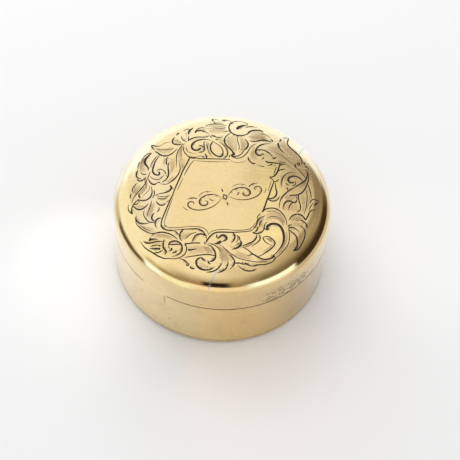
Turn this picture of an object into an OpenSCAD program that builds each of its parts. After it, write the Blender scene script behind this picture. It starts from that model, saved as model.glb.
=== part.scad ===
// Small round keepsake box: a cup made of a pressed bottom pan and a wall
// band, with a collar standing inside its mouth, and a one-piece drawn lid
// that slips over the collar.
// Frame: +Z up, origin at the middle of the flat it rests on, millimetres.

/* [Size] */
// Outside diameter of the lid and of the base wall
outer_d = 56; // [44:0.5:70]
// Height of the closed joint between base and lid
seam_z = 16.6; // [13:0.1:19]
// Height of the closed box at the middle of the lid
total_h = 29.3; // [27:0.1:34]
// Thickness of the sheet of the lid, the band and the pan
wall = 0.8; // [0.6:0.05:1]

/* [Lid] */
// Radius of the lower half of the lid's shoulder
shoulder_side_r = 7.3; // [5:0.1:8]
// Radius of the upper half of the lid's shoulder
shoulder_top_r = 4.6; // [3:0.1:5]
// Rise of the lid's top above a dead flat top
dome_rise = 0.56; // [0.3:0.02:0.8]
// Chamfer on the two outer edges that meet at the joint
seam_chamfer = 0.15; // [0.1:0.01:0.25]

/* [Base] */
// Height of the bottom pan's turned-up rim
pan_h = 1.6; // [1.5:0.1:3]
// Outer radius of the pan's lower edge
foot_r = 1.4; // [1.1:0.05:1.5]
// Chamfer on the two outer edges of the soldered pan joint
solder_chamfer = 0.08; // [0.04:0.01:0.12]

/* [Collar] */
// Thickness of the collar
collar_t = 0.6; // [0.4:0.05:0.8]
// Height of the collar that stands above the joint
collar_up = 3.6; // [2.5:0.1:5]
// Height of the collar that is soldered inside the base wall
collar_down = 5; // [3:0.1:8]
// Gap between the collar and the lid's wall all round
slip_gap = 0.05; // [0.02:0.01:0.08]

/* [Hidden] */
gilt = [0.87, 0.74, 0.46];
gilt_base = [0.84, 0.72, 0.46];
gilt_collar = [0.90, 0.78, 0.50];
R = outer_d / 2;
bore_r = R - wall;
// The shoulder is two arcs that meet at 45 degrees without a corner: side
// is the middle of the lower one, top the middle of the upper one
top = [R - shoulder_side_r + (shoulder_side_r - shoulder_top_r) * cos(45),
       total_h - dome_rise - shoulder_top_r];
side = [R - shoulder_side_r,
        top[1] - (shoulder_side_r - shoulder_top_r) * sin(45)];
// Large arc of the lid's top, which runs into the shoulder without a corner
dome_R = (top[0] * top[0] + 2 * shoulder_top_r * dome_rise
          + dome_rise * dome_rise) / (2 * dome_rise);
dome_z = total_h - dome_R;
dome_a = atan2(top[0], top[1] - dome_z);

// Half outline of the lid, set in by t from its outer skin
module lid_outline(t) {
    translate([0, seam_z]) square([R - t, side[1] - seam_z]);
    intersection() {
        translate(side) circle(r = shoulder_side_r - t, $fn = 240);
        polygon([side, side + [9, 0], side + [9, 9]]);
    }
    polygon([[0, side[1] - 0.5], [side[0], side[1] - 0.5], side, top, [0, top[1]]]);
    translate(top) circle(r = shoulder_top_r - t, $fn = 240);
    intersection() {
        translate([0, dome_z]) circle(r = dome_R - t, $fn = 2880);
        translate([0, top[1] - 0.5])
            square([(dome_R - t) * sin(dome_a), shoulder_top_r + 3]);
    }
}

module lid_cap() {
    color(gilt)
    rotate_extrude($fn = 240)
    intersection() {
        difference() {
            lid_outline(0);
            lid_outline(wall);
            // the mouth, opened below the inner skin
            translate([-1, seam_z - 1]) square([bore_r + 1, 1.5]);
            // chamfer of the outer edge, half of the fine groove of the joint
            polygon([[R - seam_chamfer, seam_z - 0.01],
                     [R + 1, seam_z - 0.01],
                     [R + 1, seam_z + seam_chamfer + 1],
                     [R, seam_z + seam_chamfer]]);
            // eased inner edge of the mouth
            polygon([[bore_r - 0.01, seam_z - 0.01],
                     [bore_r + 0.15, seam_z - 0.01],
                     [bore_r, seam_z + 0.3],
                     [bore_r - 0.01, seam_z + 0.3]]);
        }
        translate([0, seam_z]) square([R + 1, total_h]);
    }
}

module base_band() {
    color(gilt_base)
    rotate_extrude($fn = 240)
    polygon([[bore_r, pan_h],
             [R - solder_chamfer, pan_h],
             [R, pan_h + solder_chamfer],
             [R, seam_z - seam_chamfer],
             [R - seam_chamfer, seam_z],
             [bore_r, seam_z]]);
}

// Half outline of the pan, set in by t from its outer skin
module pan_outline(t) {
    translate([0, t]) square([R - foot_r, pan_h - t]);
    translate([0, foot_r]) square([R - t, pan_h - foot_r]);
    translate([R - foot_r, foot_r]) circle(r = foot_r - t, $fn = 96);
}

module base_pan() {
    color(gilt_base)
    rotate_extrude($fn = 240)
    intersection() {
        difference() {
            pan_outline(0);
            pan_outline(wall);
            translate([0, pan_h - 0.01]) square([bore_r, 1]);
            polygon([[R - solder_chamfer, pan_h + 0.01],
                     [R - solder_chamfer, pan_h],
                     [R, pan_h - solder_chamfer],
                     [R + 1, pan_h - solder_chamfer],
                     [R + 1, pan_h + 0.01]]);
        }
        square([R + 1, pan_h]);
    }
}

module inner_collar() {
    color(gilt_collar)
    rotate_extrude($fn = 240)
    polygon([[bore_r - collar_t, seam_z - collar_down],
             [bore_r, seam_z - collar_down],
             [bore_r, seam_z],
             [bore_r - slip_gap, seam_z],
             [bore_r - slip_gap, seam_z + collar_up - 0.3],
             [bore_r - slip_gap - 0.2, seam_z + collar_up],
             [bore_r - collar_t + 0.1, seam_z + collar_up],
             [bore_r - collar_t, seam_z + collar_up - 0.1]]);
}

base_pan();
base_band();
inner_collar();
lid_cap();
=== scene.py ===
import math

import bpy
import numpy as np
from mathutils import Matrix, Vector
from mathutils.geometry import delaunay_2d_cdt


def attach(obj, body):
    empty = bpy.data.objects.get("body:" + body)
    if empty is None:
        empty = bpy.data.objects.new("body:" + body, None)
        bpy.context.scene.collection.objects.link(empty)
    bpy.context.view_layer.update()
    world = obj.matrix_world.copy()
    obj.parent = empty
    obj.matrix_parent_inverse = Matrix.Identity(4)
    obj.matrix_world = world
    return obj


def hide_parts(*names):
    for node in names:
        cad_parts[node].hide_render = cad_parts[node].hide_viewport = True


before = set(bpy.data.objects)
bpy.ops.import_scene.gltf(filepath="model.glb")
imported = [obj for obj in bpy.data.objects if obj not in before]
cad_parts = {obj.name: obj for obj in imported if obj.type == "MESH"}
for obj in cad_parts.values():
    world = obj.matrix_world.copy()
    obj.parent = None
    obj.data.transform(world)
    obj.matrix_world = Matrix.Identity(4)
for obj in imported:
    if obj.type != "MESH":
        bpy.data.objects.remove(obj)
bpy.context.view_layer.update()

MM = 0.001

# ---------------------------------------------------------------- sizes, in millimetres, as in the CAD source
R = 28.0
WALL = 0.8
BORE = R - WALL
SEAM = 16.6
TOTAL = 29.3
SIDE_R, TOP_R = 7.3, 4.6
SIDE = (20.7, 22.2307)
TOP = (SIDE[0] + (SIDE_R - TOP_R) * math.cos(math.pi / 4), TOTAL - 0.56 - TOP_R)
DOME_R = (TOP[0] ** 2 + 2 * TOP_R * 0.56 + 0.56 ** 2) / (2 * 0.56)
DOME_Z = TOTAL - DOME_R
DOME_A = math.atan2(TOP[0], TOP[1] - DOME_Z)
CHAMFER = 0.15
PAN_H, FOOT_R, SOLDER = 1.6, 1.4, 0.08
COLLAR_T, COLLAR_UP, COLLAR_DOWN, SLIP = 0.6, 3.6, 5.0, 0.05
SEGS = 384          # steps round every turned skin
DISC_R = 26.6       # the engraved disc of the lid's mesh ends on the shoulder here


# ---------------------------------------------------------------- the engraving
# Cuts of the engraving, in thousandths of the lid's radius, seen from above.
# Each: (width at start, in the middle, at the end, points...)
CUTS = [
 # --- panel border
 (12, 12, 11, (-330,338), (-338,312), (-350,270), (-368,220), (-384,170), (-398,112), (-412,60), (-424,15), (-434,-28)),
 (8, 11, 9, (-436,-35), (-444,-70), (-452,-110), (-466,-150), (-478,-200), (-492,-255), (-506,-310), (-518,-360), (-525,-405), (-524,-440)),
 (12, 13, 9, (-526,-436), (-518,-458), (-500,-477), (-472,-488), (-440,-493), (-405,-491)),
 (6, 9, 13, (-398,-484), (-360,-477), (-320,-470), (-280,-466), (-245,-461), (-212,-459)),
 (13, 12, 8, (-250,-463), (-212,-458), (-180,-463), (-155,-478), (-138,-500), (-124,-522)),
 (12, 13, 12, (-116,-588), (-102,-556), (-84,-526), (-62,-500), (-35,-483), (5,-475), (60,-472), (112,-469)),
 (9, 9, 6, (112,-469), (150,-463), (190,-456), (232,-449), (268,-437), (290,-416)),
 (6, 14, 4, (290,-414), (304,-396), (313,-372), (318,-348), (323,-324), (333,-303), (356,-283), (386,-262)),
 (5, 7, 4, (318,-302), (320,-280), (330,-257), (347,-238)),
 (12, 13, 11, (362,-224), (372,-195), (381,-158), (390,-120), (397,-85), (404,-60)),
 (11, 12, 9, (401,-75), (412,-38), (422,10), (432,50), (442,88), (450,122)),
 (10, 14, 11, (500,342), (494,308), (486,270), (475,232), (460,203), (438,181), (414,175)),
 (13, 13, 4, (371,357), (386,346), (422,347), (462,345), (496,347), (522,356), (548,363)),
 (10, 11, 8, (-278,336), (-240,331), (-190,334), (-130,338), (-70,341), (-10,343), (38,345)),
 (8, 15, 16, (-345,350), (-322,338), (-296,334), (-276,340)),
 (4, 8, 4, (-292,305), (-318,258), (-338,207), (-352,165), (-366,122)),
 (3, 6, 3, (-372,100), (-386,50), (-400,0), (-414,-50)),
 (4, 7, 4, (-448,-140), (-462,-200), (-475,-262), (-487,-320), (-496,-378), (-499,-420)),
 (4, 7, 5, (-499,-420), (-490,-446), (-466,-459), (-420,-461), (-378,-457), (-338,-449), (-300,-442)),
 (4, 7, 4, (-300,-442), (-256,-436), (-210,-434), (-170,-438), (-142,-450), (-120,-470), (-106,-494), (-98,-514)),
 (4, 7, 5, (-98,-502), (-84,-484), (-60,-466), (-22,-452), (20,-445), (62,-443), (104,-446)),
 (5, 7, 4, (104,-446), (150,-444), (198,-437), (232,-428), (258,-416), (280,-394), (294,-370), (300,-350)),
 (3, 7, 3, (-296,302), (-250,303), (-190,302), (-120,304), (-60,308), (-10,312), (25,316)),
 (4, 8, 4, (468,300), (460,268), (452,235), (443,205)),
 (3, 5, 3, (428,135), (420,95), (411,55), (404,15)),
 # --- upper left leaf and lobes
 (3, 8, 9, (-602,467), (-620,458), (-642,449), (-662,451), (-680,464), (-692,457)),
 (9, 9, 5, (-694,460), (-691,440), (-680,422), (-660,404)),
 (12, 13, 5, (-650,386), (-625,369), (-595,346), (-565,339), (-535,346), (-505,366), (-480,394), (-455,432)),
 (3, 6, 3, (-640,418), (-600,412), (-560,415), (-515,424), (-480,440)),
 (2, 5, 3, (-600,470), (-580,490), (-560,503), (-532,510)),
 (14, 9, 4, (-457,624), (-465,612), (-478,596)),
 (6, 12, 4, (-490,573), (-503,548), (-508,520), (-502,500), (-485,486), (-460,481), (-430,486), (-405,500)),
 (4, 8, 5, (-427,592), (-423,565), (-408,542), (-390,530), (-373,523)),
 (3, 7, 5, (-415,655), (-397,674), (-376,684), (-358,683)),
 (7, 16, 4, (-328,702), (-343,683), (-359,662), (-366,640), (-363,614)),
 (4, 7, 15, (-362,602), (-362,575), (-359,555), (-357,542)),
 (14, 11, 4, (-343,556), (-320,574), (-290,588), (-255,594), (-215,594), (-188,602), (-166,624)),
 (4, 8, 3, (-388,502), (-412,475), (-433,438), (-448,395), (-453,345), (-450,300), (-447,255), (-445,212)),
 (3, 10, 4, (-428,300), (-420,262), (-411,222), (-408,185), (-416,145), (-432,108), (-455,70), (-485,35), (-515,14), (-545,8), (-573,17)),
 (4, 9, 9, (-395,475), (-399,440), (-389,405), (-370,376), (-345,352), (-325,341)),
 # --- upper left scroll
 (4, 15, 14, (-145,556), (-180,567), (-215,567), (-250,558), (-285,543), (-310,520), (-323,490), (-322,460), (-309,437), (-284,427), (-260,432), (-246,445), (-242,458)),
 (4, 9, 4, (-264,481), (-248,491), (-230,488), (-212,476), (-202,456), (-203,434), (-216,416), (-236,405), (-258,402)),
 (3, 9, 5, (-210,548), (-213,524), (-212,500), (-204,474)),
 (3, 6, 3, (-183,542), (-187,515), (-185,488), (-179,460)),
 (3, 6, 3, (-370,470), (-373,440), (-360,415), (-338,399), (-308,389), (-278,385)),
 (5, 7, 6, (-266,356), (-235,362), (-208,359), (-197,344)),
 (6, 11, 6, (-196,391), (-181,375), (-175,357), (-178,340)),
 (8, 14, 9, (-130,550), (-146,520), (-151,485), (-146,450), (-132,418), (-108,392), (-80,375), (-52,369), (-36,380), (-29,405), (-32,440)),
 (9, 8, 5, (-32,440), (-44,472), (-66,500), (-96,525), (-130,548)),
 (4, 9, 6, (-72,548), (-46,528), (-20,497), (0,462), (11,425), (10,392), (0,370), (-20,350)),
 (3, 7, 3, (-168,530), (-177,492), (-172,452), (-160,415), (-145,385), (-122,360)),
 # --- top leaf
 (14, 6, 3, (-301,646), (-300,662), (-290,680), (-278,697), (-262,709), (-240,717), (-218,711), (-195,700)),
 (10, 11, 4, (-298,658), (-275,673), (-250,677), (-225,670), (-200,656), (-177,640)),
 (6, 7, 5, (-213,730), (-200,745), (-178,757), (-148,766), (-112,770), (-78,769), (-48,764), (-20,757)),
 (12, 10, 4, (-156,828), (-153,812), (-146,799)),
 (6, 6, 3, (-150,830), (-125,831), (-103,827)),
 (8, 7, 5, (-138,797), (-130,784), (-117,774)),
 (12, 9, 6, (-58,820), (-42,827), (-20,828), (0,825)),
 (4, 5, 4, (6,820), (18,812), (26,806)),
 (3, 6, 3, (-195,734), (-150,741), (-100,743), (-50,741), (-18,735)),
 (4, 8, 4, (-140,722), (-100,720), (-60,722), (-24,728)),
 (12, 10, 5, (-145,626), (-125,612), (-100,605), (-75,604), (-48,611)),
 (8, 8, 5, (-162,610), (-155,602), (-146,595)),
 (10, 9, 6, (-107,578), (-98,575), (-88,577)),
 (5, 8, 5, (-36,676), (-14,684), (8,690)),
 # --- bud at the top
 (5, 13, 10, (104,826), (72,823), (45,812), (24,797), (12,775), (7,750), (8,725), (15,700), (30,678), (52,660), (80,648), (110,645), (140,650), (165,660), (185,672)),
 (5, 6, 7, (104,826), (130,822), (152,814), (172,801), (182,789), (170,781)),
 (28, 20, 7, (88,732), (98,748), (118,764), (142,774), (168,781)),
 (6, 5, 3, (84,648), (82,638), (80,628)),
 (7, 6, 3, (104,645), (105,634), (104,625)),
 (6, 5, 3, (126,647), (130,637), (133,628)),
 (6, 5, 3, (146,652), (152,643), (158,636)),
 (6, 5, 3, (62,655), (56,645), (52,636)),
 (12, 9, 3, (170,757), (190,763), (215,769), (240,768), (268,762)),
 (10, 16, 5, (186,672), (193,692), (207,708), (228,719), (252,726), (278,729), (302,730), (318,722), (328,705)),
 (6, 6, 5, (308,683), (333,686), (355,681), (376,668), (396,650)),
 (4, 7, 8, (398,634), (414,624), (425,610), (418,602)),
 (8, 6, 4, (424,606), (414,598), (404,592)),
 (4, 17, 6, (210,585), (240,583), (270,590), (300,601), (332,612), (362,612), (388,605), (410,596)),
 # --- pear leaf under the bud
 (6, 13, 14, (25,672), (4,648), (-15,620), (-27,585), (-27,556), (-14,530), (2,506), (25,481), (46,456), (64,430)),
 (14, 22, 6, (60,436), (70,418), (66,404), (48,398)),
 (6, 12, 13, (168,602), (185,580), (196,553), (196,525), (186,500), (170,475)),
 (6, 10, 9, (162,464), (151,440), (134,414), (112,396), (88,387), (62,385)),
 (5, 9, 7, (272,560), (247,545), (226,520), (210,490), (199,458), (184,428), (164,400), (140,377), (115,366), (88,364)),
 (5, 8, 4, (90,640), (93,600), (102,560), (113,520), (117,490), (113,468)),
 (12, 11, 5, (46,401), (56,385), (76,371), (100,365)),
 (8, 7, 5, (33,396), (30,382), (30,366)),
 (4, 5, 3, (48,332), (68,320), (100,314), (135,318), (165,330), (185,345)),
 (10, 12, 12, (204,385), (208,362), (220,344), (236,328), (252,316), (268,318)),
 (4, 7, 10, (290,308), (310,299), (332,293), (354,293)),
 # --- upper right scroll
 (4, 15, 12, (402,574), (366,570), (336,562), (310,546), (290,522), (275,495), (270,466), (275,440), (290,423), (309,418), (324,428)),
 (8, 8, 4, (322,424), (332,446), (344,440), (352,425)),
 (9, 12, 4, (274,477), (300,488), (330,490), (360,482), (385,468), (405,448), (422,425), (433,405)),
 (6, 8, 8, (346,402), (345,390), (334,380)),
 (16, 12, 4, (438,398), (450,408), (466,415)),
 (14, 8, 3, (424,326), (405,315), (380,305)),
 (5, 6, 4, (438,318), (452,316), (464,315)),
 (12, 10, 4, (504,326), (521,335), (548,339)),
 (6, 11, 5, (490,257), (508,270), (530,280), (552,282)),
 (10, 9, 6, (414,173), (425,159), (440,145), (450,131)),
 (8, 11, 5, (450,129), (465,128), (481,140), (496,160)),
 (5, 13, 10, (465,112), (467,80), (473,45), (481,10), (479,-20), (466,-46), (450,-62), (430,-70), (406,-72)),
 (11, 11, 4, (412,-84), (432,-93), (456,-95), (480,-85), (499,-62), (509,-34)),
 # --- upper right leaf
 (14, 10, 6, (498,636), (492,622), (487,606)),
 (5, 8, 5, (518,658), (533,667), (552,672), (565,669)),
 (6, 12, 7, (570,674), (571,655), (562,638), (558,616), (561,593), (572,568), (592,543), (616,519), (640,496), (662,472), (681,447), (695,418), (702,388), (699,360)),
 (14, 11, 4, (475,588), (474,570), (481,545), (496,520), (516,495), (542,474)),
 (3, 6, 4, (455,470), (500,450), (548,416), (592,376), (622,348)),
 (9, 9, 9, (665,350), (660,362), (668,375), (681,368), (682,352), (672,343)),
 (12, 14, 6, (640,352), (637,336), (644,320), (656,310)),
 (5, 8, 4, (656,310), (680,284), (705,250), (725,221), (737,203)),
 (15, 12, 8, (722,376), (724,368), (728,360)),
 (12, 8, 4, (734,337), (750,326), (766,303)),
 (6, 14, 11, (735,308), (746,290), (753,264), (755,238), (751,213), (745,190), (734,170), (715,150), (690,126), (668,106), (654,93)),
 (7, 10, 4, (656,98), (622,66), (590,40), (562,7), (541,-20), (525,-50), (515,-90), (510,-130), (512,-166)),
 (4, 12, 11, (759,292), (767,260), (768,225), (766,188), (758,148), (745,102), (729,60), (705,26), (680,6), (655,-5), (628,-8), (604,-15)),
 (3, 10, 4, (652,245), (625,252), (596,250), (570,236), (548,211), (532,180), (525,145), (522,112), (525,82)),
 (6, 16, 13, (720,150), (702,178), (676,202), (646,212), (616,208), (593,194), (581,170), (582,150), (593,135), (611,130), (630,139)),
 (4, 7, 4, (645,155), (651,136), (648,116), (635,102), (614,95)),
 (4, 9, 6, (558,128), (570,108), (590,96)),
 (4, 9, 8, (571,76), (577,63), (577,50)),
 # --- right side
 (5, 8, 5, (749,62), (755,20), (758,-20), (757,-60), (755,-100), (750,-140), (742,-175), (737,-202)),
 (5, 9, 5, (762,128), (775,88), (785,48), (793,8), (797,-24)),
 (9, 10, 6, (680,-4), (680,-40), (688,-75), (697,-105), (702,-135), (697,-165), (686,-184), (675,-192)),
 (8, 13, 4, (665,-60), (660,-80), (648,-92), (632,-90), (618,-80), (600,-75), (580,-78), (562,-95), (550,-125), (545,-155), (545,-182)),
 (10, 9, 4, (626,-94), (612,-112), (603,-132), (597,-155), (592,-174)),
 (5, 6, 4, (656,-12), (665,-30), (666,-56)),
 (5, 9, 6, (871,-47), (852,-38), (828,-35), (812,-32), (800,-42), (790,-60), (787,-82)),
 (8, 14, 5, (858,-60), (845,-72), (832,-88), (824,-106)),
 (5, 8, 4, (815,-72), (805,-90), (793,-112), (785,-136), (778,-162)),
 (5, 12, 10, (836,-148), (816,-150), (798,-158), (785,-178), (775,-205), (765,-235), (755,-263)),
 (6, 12, 12, (605,-288), (612,-265), (626,-241), (646,-224), (670,-215), (693,-213), (710,-220), (726,-235), (741,-254), (747,-268)),
 (12, 8, 3, (598,-356), (610,-340), (630,-327)),
 (4, 8, 12, (655,-290), (680,-278), (710,-277), (735,-288), (752,-305), (762,-325), (763,-345)),
 (6, 13, 12, (600,-386), (612,-400), (635,-414), (655,-432), (671,-456), (681,-486), (685,-516), (683,-545), (673,-574), (655,-595)),
 (12, 9, 4, (604,-374), (625,-361), (650,-366), (670,-380), (692,-403)),
 (8, 10, 8, (710,-338), (730,-358), (745,-385), (750,-415), (746,-450), (736,-485), (722,-518), (708,-550), (690,-575), (668,-592)),
 (6, 8, 4, (602,-388), (610,-430), (612,-470), (610,-510), (600,-550), (580,-590), (555,-630), (530,-665), (505,-690), (488,-703)),
 # --- big scroll lower right
 (20, 20, 5, (417,-402), (411,-385), (418,-367), (436,-351), (460,-343), (486,-342), (511,-351), (531,-370), (546,-397), (556,-428), (562,-462), (563,-496), (559,-530), (550,-560), (539,-586), (524,-612), (505,-640), (484,-667)),
 (9, 11, 8, (423,-408), (408,-413), (396,-405), (386,-397)),
 (5, 10, 12, (407,-328), (392,-350), (383,-375), (385,-400), (378,-420), (365,-441), (345,-456), (320,-461), (300,-461), (289,-451)),
 (5, 11, 5, (300,-451), (318,-434), (326,-410), (328,-384)),
 (12, 11, 5, (366,-212), (390,-191), (420,-178), (455,-173), (490,-180), (522,-203), (550,-236), (570,-272), (580,-310), (583,-342)),
 (4, 6, 3, (400,-300), (420,-280), (446,-265), (476,-262), (505,-272), (530,-290), (552,-322)),
 (3, 5, 3, (398,-216), (430,-209), (462,-207), (492,-216), (520,-236)),
 (8, 9, 4, (356,-320), (346,-345), (340,-380)),
 # --- lower left sprig
 (14, 12, 4, (-479,-4), (-470,-18), (-471,-36), (-480,-56), (-502,-75), (-532,-88), (-562,-97), (-590,-107), (-606,-120)),
 (9, 7, 5, (-477,-6), (-462,-23), (-446,-44)),
 (4, 8, 5, (-600,-120), (-565,-130), (-530,-131), (-500,-128), (-480,-108)),
 (4, 9, 4, (-586,-148), (-550,-156), (-520,-152), (-494,-138)),
 (5, 12, 5, (-592,-184), (-580,-205), (-562,-221), (-540,-227), (-520,-220), (-505,-200)),
 (4, 7, 4, (-502,-190), (-490,-178), (-478,-168)),
 (4, 12, 9, (-652,-22), (-643,-55), (-638,-90), (-640,-118), (-650,-145), (-668,-166), (-690,-181), (-715,-187), (-737,-184), (-756,-176)),
 (4, 13, 5, (-748,-104), (-753,-120), (-750,-140), (-737,-160)),
 (5, 9, 4, (-624,-58), (-617,-85), (-616,-110), (-622,-135), (-634,-156)),
 (3, 5, 3, (-666,-10), (-665,-45), (-676,-78), (-700,-110), (-724,-138)),
 (9, 10, 12, (-754,-178), (-770,-196), (-785,-221), (-796,-250), (-803,-280), (-801,-306), (-791,-328)),
 (4, 8, 9, (-837,-232), (-836,-264), (-828,-290), (-812,-314), (-793,-331)),
 (9, 8, 5, (-781,-231), (-765,-226), (-751,-210)),
 (6, 7, 4, (-751,-186), (-745,-198), (-738,-208)),
 (4, 9, 8, (-822,-108), (-829,-135), (-827,-162)),
 (4, 9, 5, (-780,10), (-800,-15), (-815,-50), (-820,-80), (-812,-98)),
 (4, 10, 4, (-693,68), (-706,22), (-725,-28), (-745,-62), (-764,-96), (-784,-132), (-800,-168), (-808,-212)),
 (9, 13, 4, (-786,-254), (-770,-270), (-750,-284), (-728,-286), (-708,-277), (-690,-262), (-674,-241), (-660,-214)),
 (4, 8, 4, (-632,-178), (-635,-215), (-641,-252), (-649,-290), (-655,-322), (-656,-350)),
 (4, 9, 9, (-688,-288), (-692,-320), (-685,-350), (-666,-380), (-646,-404), (-628,-415), (-610,-418), (-593,-414)),
 (6, 14, 8, (-598,-312), (-611,-335), (-615,-360), (-611,-384), (-596,-398), (-580,-401)),
 (4, 8, 7, (-562,-248), (-557,-265), (-561,-285), (-572,-299)),
 (11, 12, 4, (-536,-366), (-553,-368), (-568,-381), (-577,-401), (-580,-426), (-575,-450), (-563,-473)),
 (5, 13, 5, (-752,-358), (-757,-376), (-752,-395), (-740,-412), (-720,-428), (-695,-436), (-665,-432), (-634,-425)),
 (4, 8, 9, (-758,-385), (-753,-411), (-741,-440), (-722,-463), (-699,-486), (-670,-506), (-640,-523), (-610,-533), (-577,-533)),
 (9, 13, 4, (-588,-536), (-562,-527), (-535,-518), (-503,-515), (-470,-520), (-438,-530), (-410,-545), (-386,-564), (-364,-582)),
 (3, 6, 3, (-702,-458), (-676,-480), (-646,-495), (-615,-503)),
 (5, 7, 6, (-598,-560), (-590,-546), (-574,-535)),
 # --- left scroll
 (8, 7, 3, (-688,366), (-712,359), (-735,340), (-752,314), (-763,286), (-770,258)),
 (6, 19, 6, (-686,368), (-700,345), (-718,320), (-730,294), (-736,268), (-735,242), (-722,220), (-706,202), (-699,182), (-695,160)),
 (10, 8, 4, (-782,252), (-791,227), (-794,200), (-789,172)),
 (10, 12, 6, (-791,150), (-800,125), (-798,96), (-788,70), (-770,60), (-754,66)),
 (12, 12, 4, (-782,46), (-766,33), (-745,38), (-725,55), (-708,85)),
 (5, 9, 5, (-760,127), (-741,112), (-724,110), (-706,119)),
 (5, 13, 14, (-604,346), (-622,315), (-637,280), (-645,250), (-651,210), (-656,170), (-651,140), (-638,122), (-620,111), (-602,111), (-590,125), (-596,146)),
 (3, 7, 3, (-616,356), (-636,328), (-655,290), (-670,255), (-680,218), (-685,185)),
 (3, 8, 7, (-678,150), (-682,120), (-686,95), (-694,66)),
 (5, 8, 4, (-616,158), (-605,176), (-589,183), (-570,176), (-551,162), (-537,143), (-530,120)),
 (4, 8, 4, (-672,92), (-650,70), (-625,58), (-600,58), (-576,72), (-559,94), (-552,117)),
 (5, 13, 12, (-684,62), (-676,40), (-661,18), (-641,3), (-623,2), (-612,13)),
 (6, 10, 7, (-605,21), (-590,25), (-577,34)),
 (4, 8, 12, (-528,332), (-540,312), (-543,290), (-539,265), (-537,243)),
 (5, 13, 6, (-512,268), (-522,242), (-519,205), (-513,168), (-508,132), (-511,100), (-523,70), (-540,46), (-560,34)),
 (6, 7, 5, (-531,112), (-523,105), (-515,99)),
 # --- foliage under the panel
 (8, 8, 4, (-406,-491), (-386,-503), (-371,-520), (-360,-541)),
 (10, 12, 4, (-324,-471), (-340,-491), (-350,-520), (-352,-550), (-345,-575), (-330,-593)),
 (5, 8, 4, (-210,-495), (-240,-508), (-264,-525), (-280,-545), (-291,-567)),
 (14, 13, 5, (-124,-520), (-141,-512), (-170,-509), (-196,-515), (-215,-530), (-228,-555), (-236,-580), (-241,-601)),
 (8, 6, 3, (-124,-520), (-119,-540), (-117,-562)),
 (11, 13, 4, (-440,-641), (-435,-620), (-416,-605), (-390,-598), (-360,-605), (-336,-625), (-323,-655), (-320,-685), (-329,-715), (-349,-738), (-375,-750), (-402,-756)),
 (9, 11, 10, (-438,-640), (-405,-638), (-372,-633), (-342,-632)),
 (5, 6, 3, (-441,-650), (-438,-670), (-430,-686)),
 (16, 10, 4, (-411,-680), (-411,-692), (-421,-702), (-434,-708)),
 (7, 12, 6, (-402,-723), (-386,-719), (-372,-708), (-361,-696)),
 (5, 13, 8, (-484,-590), (-492,-612), (-487,-636), (-489,-661), (-479,-685), (-461,-699), (-455,-716), (-466,-735)),
 (15, 12, 5, (-612,-602), (-600,-595), (-575,-590), (-540,-592)),
 (7, 12, 14, (-604,-578), (-610,-590), (-612,-603)),
 (5, 13, 6, (-665,-603), (-645,-620), (-620,-628), (-590,-625), (-560,-618), (-530,-612), (-500,-612)),
 (5, 9, 7, (-602,-655), (-575,-655), (-550,-650), (-522,-652), (-508,-658)),
 (4, 12, 17, (-605,-671), (-580,-680), (-555,-680), (-535,-683), (-518,-685)),
 (4, 9, 6, (-562,-712), (-536,-716), (-510,-712), (-489,-699)),
 (3, 9, 6, (-692,-600), (-675,-625), (-650,-655), (-620,-680), (-590,-700), (-560,-720), (-530,-740), (-500,-755), (-470,-768), (-440,-772), (-418,-772)),
 (5, 9, 9, (-428,-772), (-392,-776), (-360,-773), (-330,-762), (-305,-745), (-290,-720), (-282,-690), (-283,-660), (-291,-636), (-301,-622)),
 (13, 12, 12, (-297,-622), (-260,-615), (-220,-607), (-174,-605)),
 (20, 12, 3, (-260,-681), (-242,-680), (-216,-672), (-192,-668)),
 (6, 11, 9, (-290,-762), (-242,-748), (-200,-738), (-150,-725), (-100,-717), (-62,-719), (-28,-725)),
 (5, 13, 12, (-108,-612), (-88,-620), (-68,-633), (-50,-651), (-36,-675), (-28,-705), (-25,-735), (-31,-760), (-46,-778), (-66,-785)),
 (8, 9, 5, (-132,-594), (-124,-603), (-122,-614)),
 (4, 9, 5, (-340,-775), (-315,-780), (-291,-788), (-276,-800), (-266,-815), (-252,-822)),
 (5, 9, 5, (-276,-820), (-264,-834), (-251,-831), (-247,-818)),
 (5, 9, 7, (-240,-839), (-232,-853), (-215,-860), (-199,-857)),
 (9, 14, 4, (-143,-752), (-165,-758), (-182,-772), (-190,-795), (-185,-820), (-169,-845), (-145,-860), (-110,-867), (-76,-865), (-46,-854), (-24,-833)),
 (17, 10, 4, (-137,-762), (-132,-773), (-122,-780), (-107,-786)),
 (8, 10, 4, (-87,-780), (-85,-795), (-76,-807), (-60,-812)),
 (4, 11, 5, (-92,-884), (-60,-882), (-30,-872), (-5,-856), (15,-835), (28,-812), (35,-793)),
 (3, 11, 5, (2,-884), (30,-876), (55,-862), (73,-841), (85,-816), (88,-796), (83,-779)),
 (3, 11, 8, (101,-849), (121,-830), (138,-808), (145,-785), (141,-761), (131,-740), (118,-722), (98,-708)),
 (4, 8, 4, (0,-604), (30,-625), (60,-650), (90,-679), (120,-700), (150,-719), (185,-735), (230,-745), (280,-752), (330,-755), (380,-750), (424,-743)),
 (5, 8, 3, (-96,-600), (-62,-605), (-36,-620), (-10,-641), (10,-666), (25,-692)),
 (24, 16, 5, (6,-577), (-6,-590), (-22,-600), (-48,-600)),
 (8, 9, 5, (-29,-506), (-28,-530), (-15,-547)),
 (7, 18, 6, (-12,-545), (-1,-521), (20,-505), (43,-508), (58,-525), (60,-545), (46,-562), (24,-572)),
 (9, 12, 4, (112,-474), (126,-490), (132,-515), (127,-545), (116,-565), (103,-582)),
 (6, 11, 6, (148,-498), (165,-510), (175,-530), (177,-549)),
 (10, 19, 4, (184,-553), (191,-571), (188,-590), (180,-606), (165,-621), (145,-635), (112,-646)),
 (8, 6, 3, (172,-574), (160,-590), (134,-611)),
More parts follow.
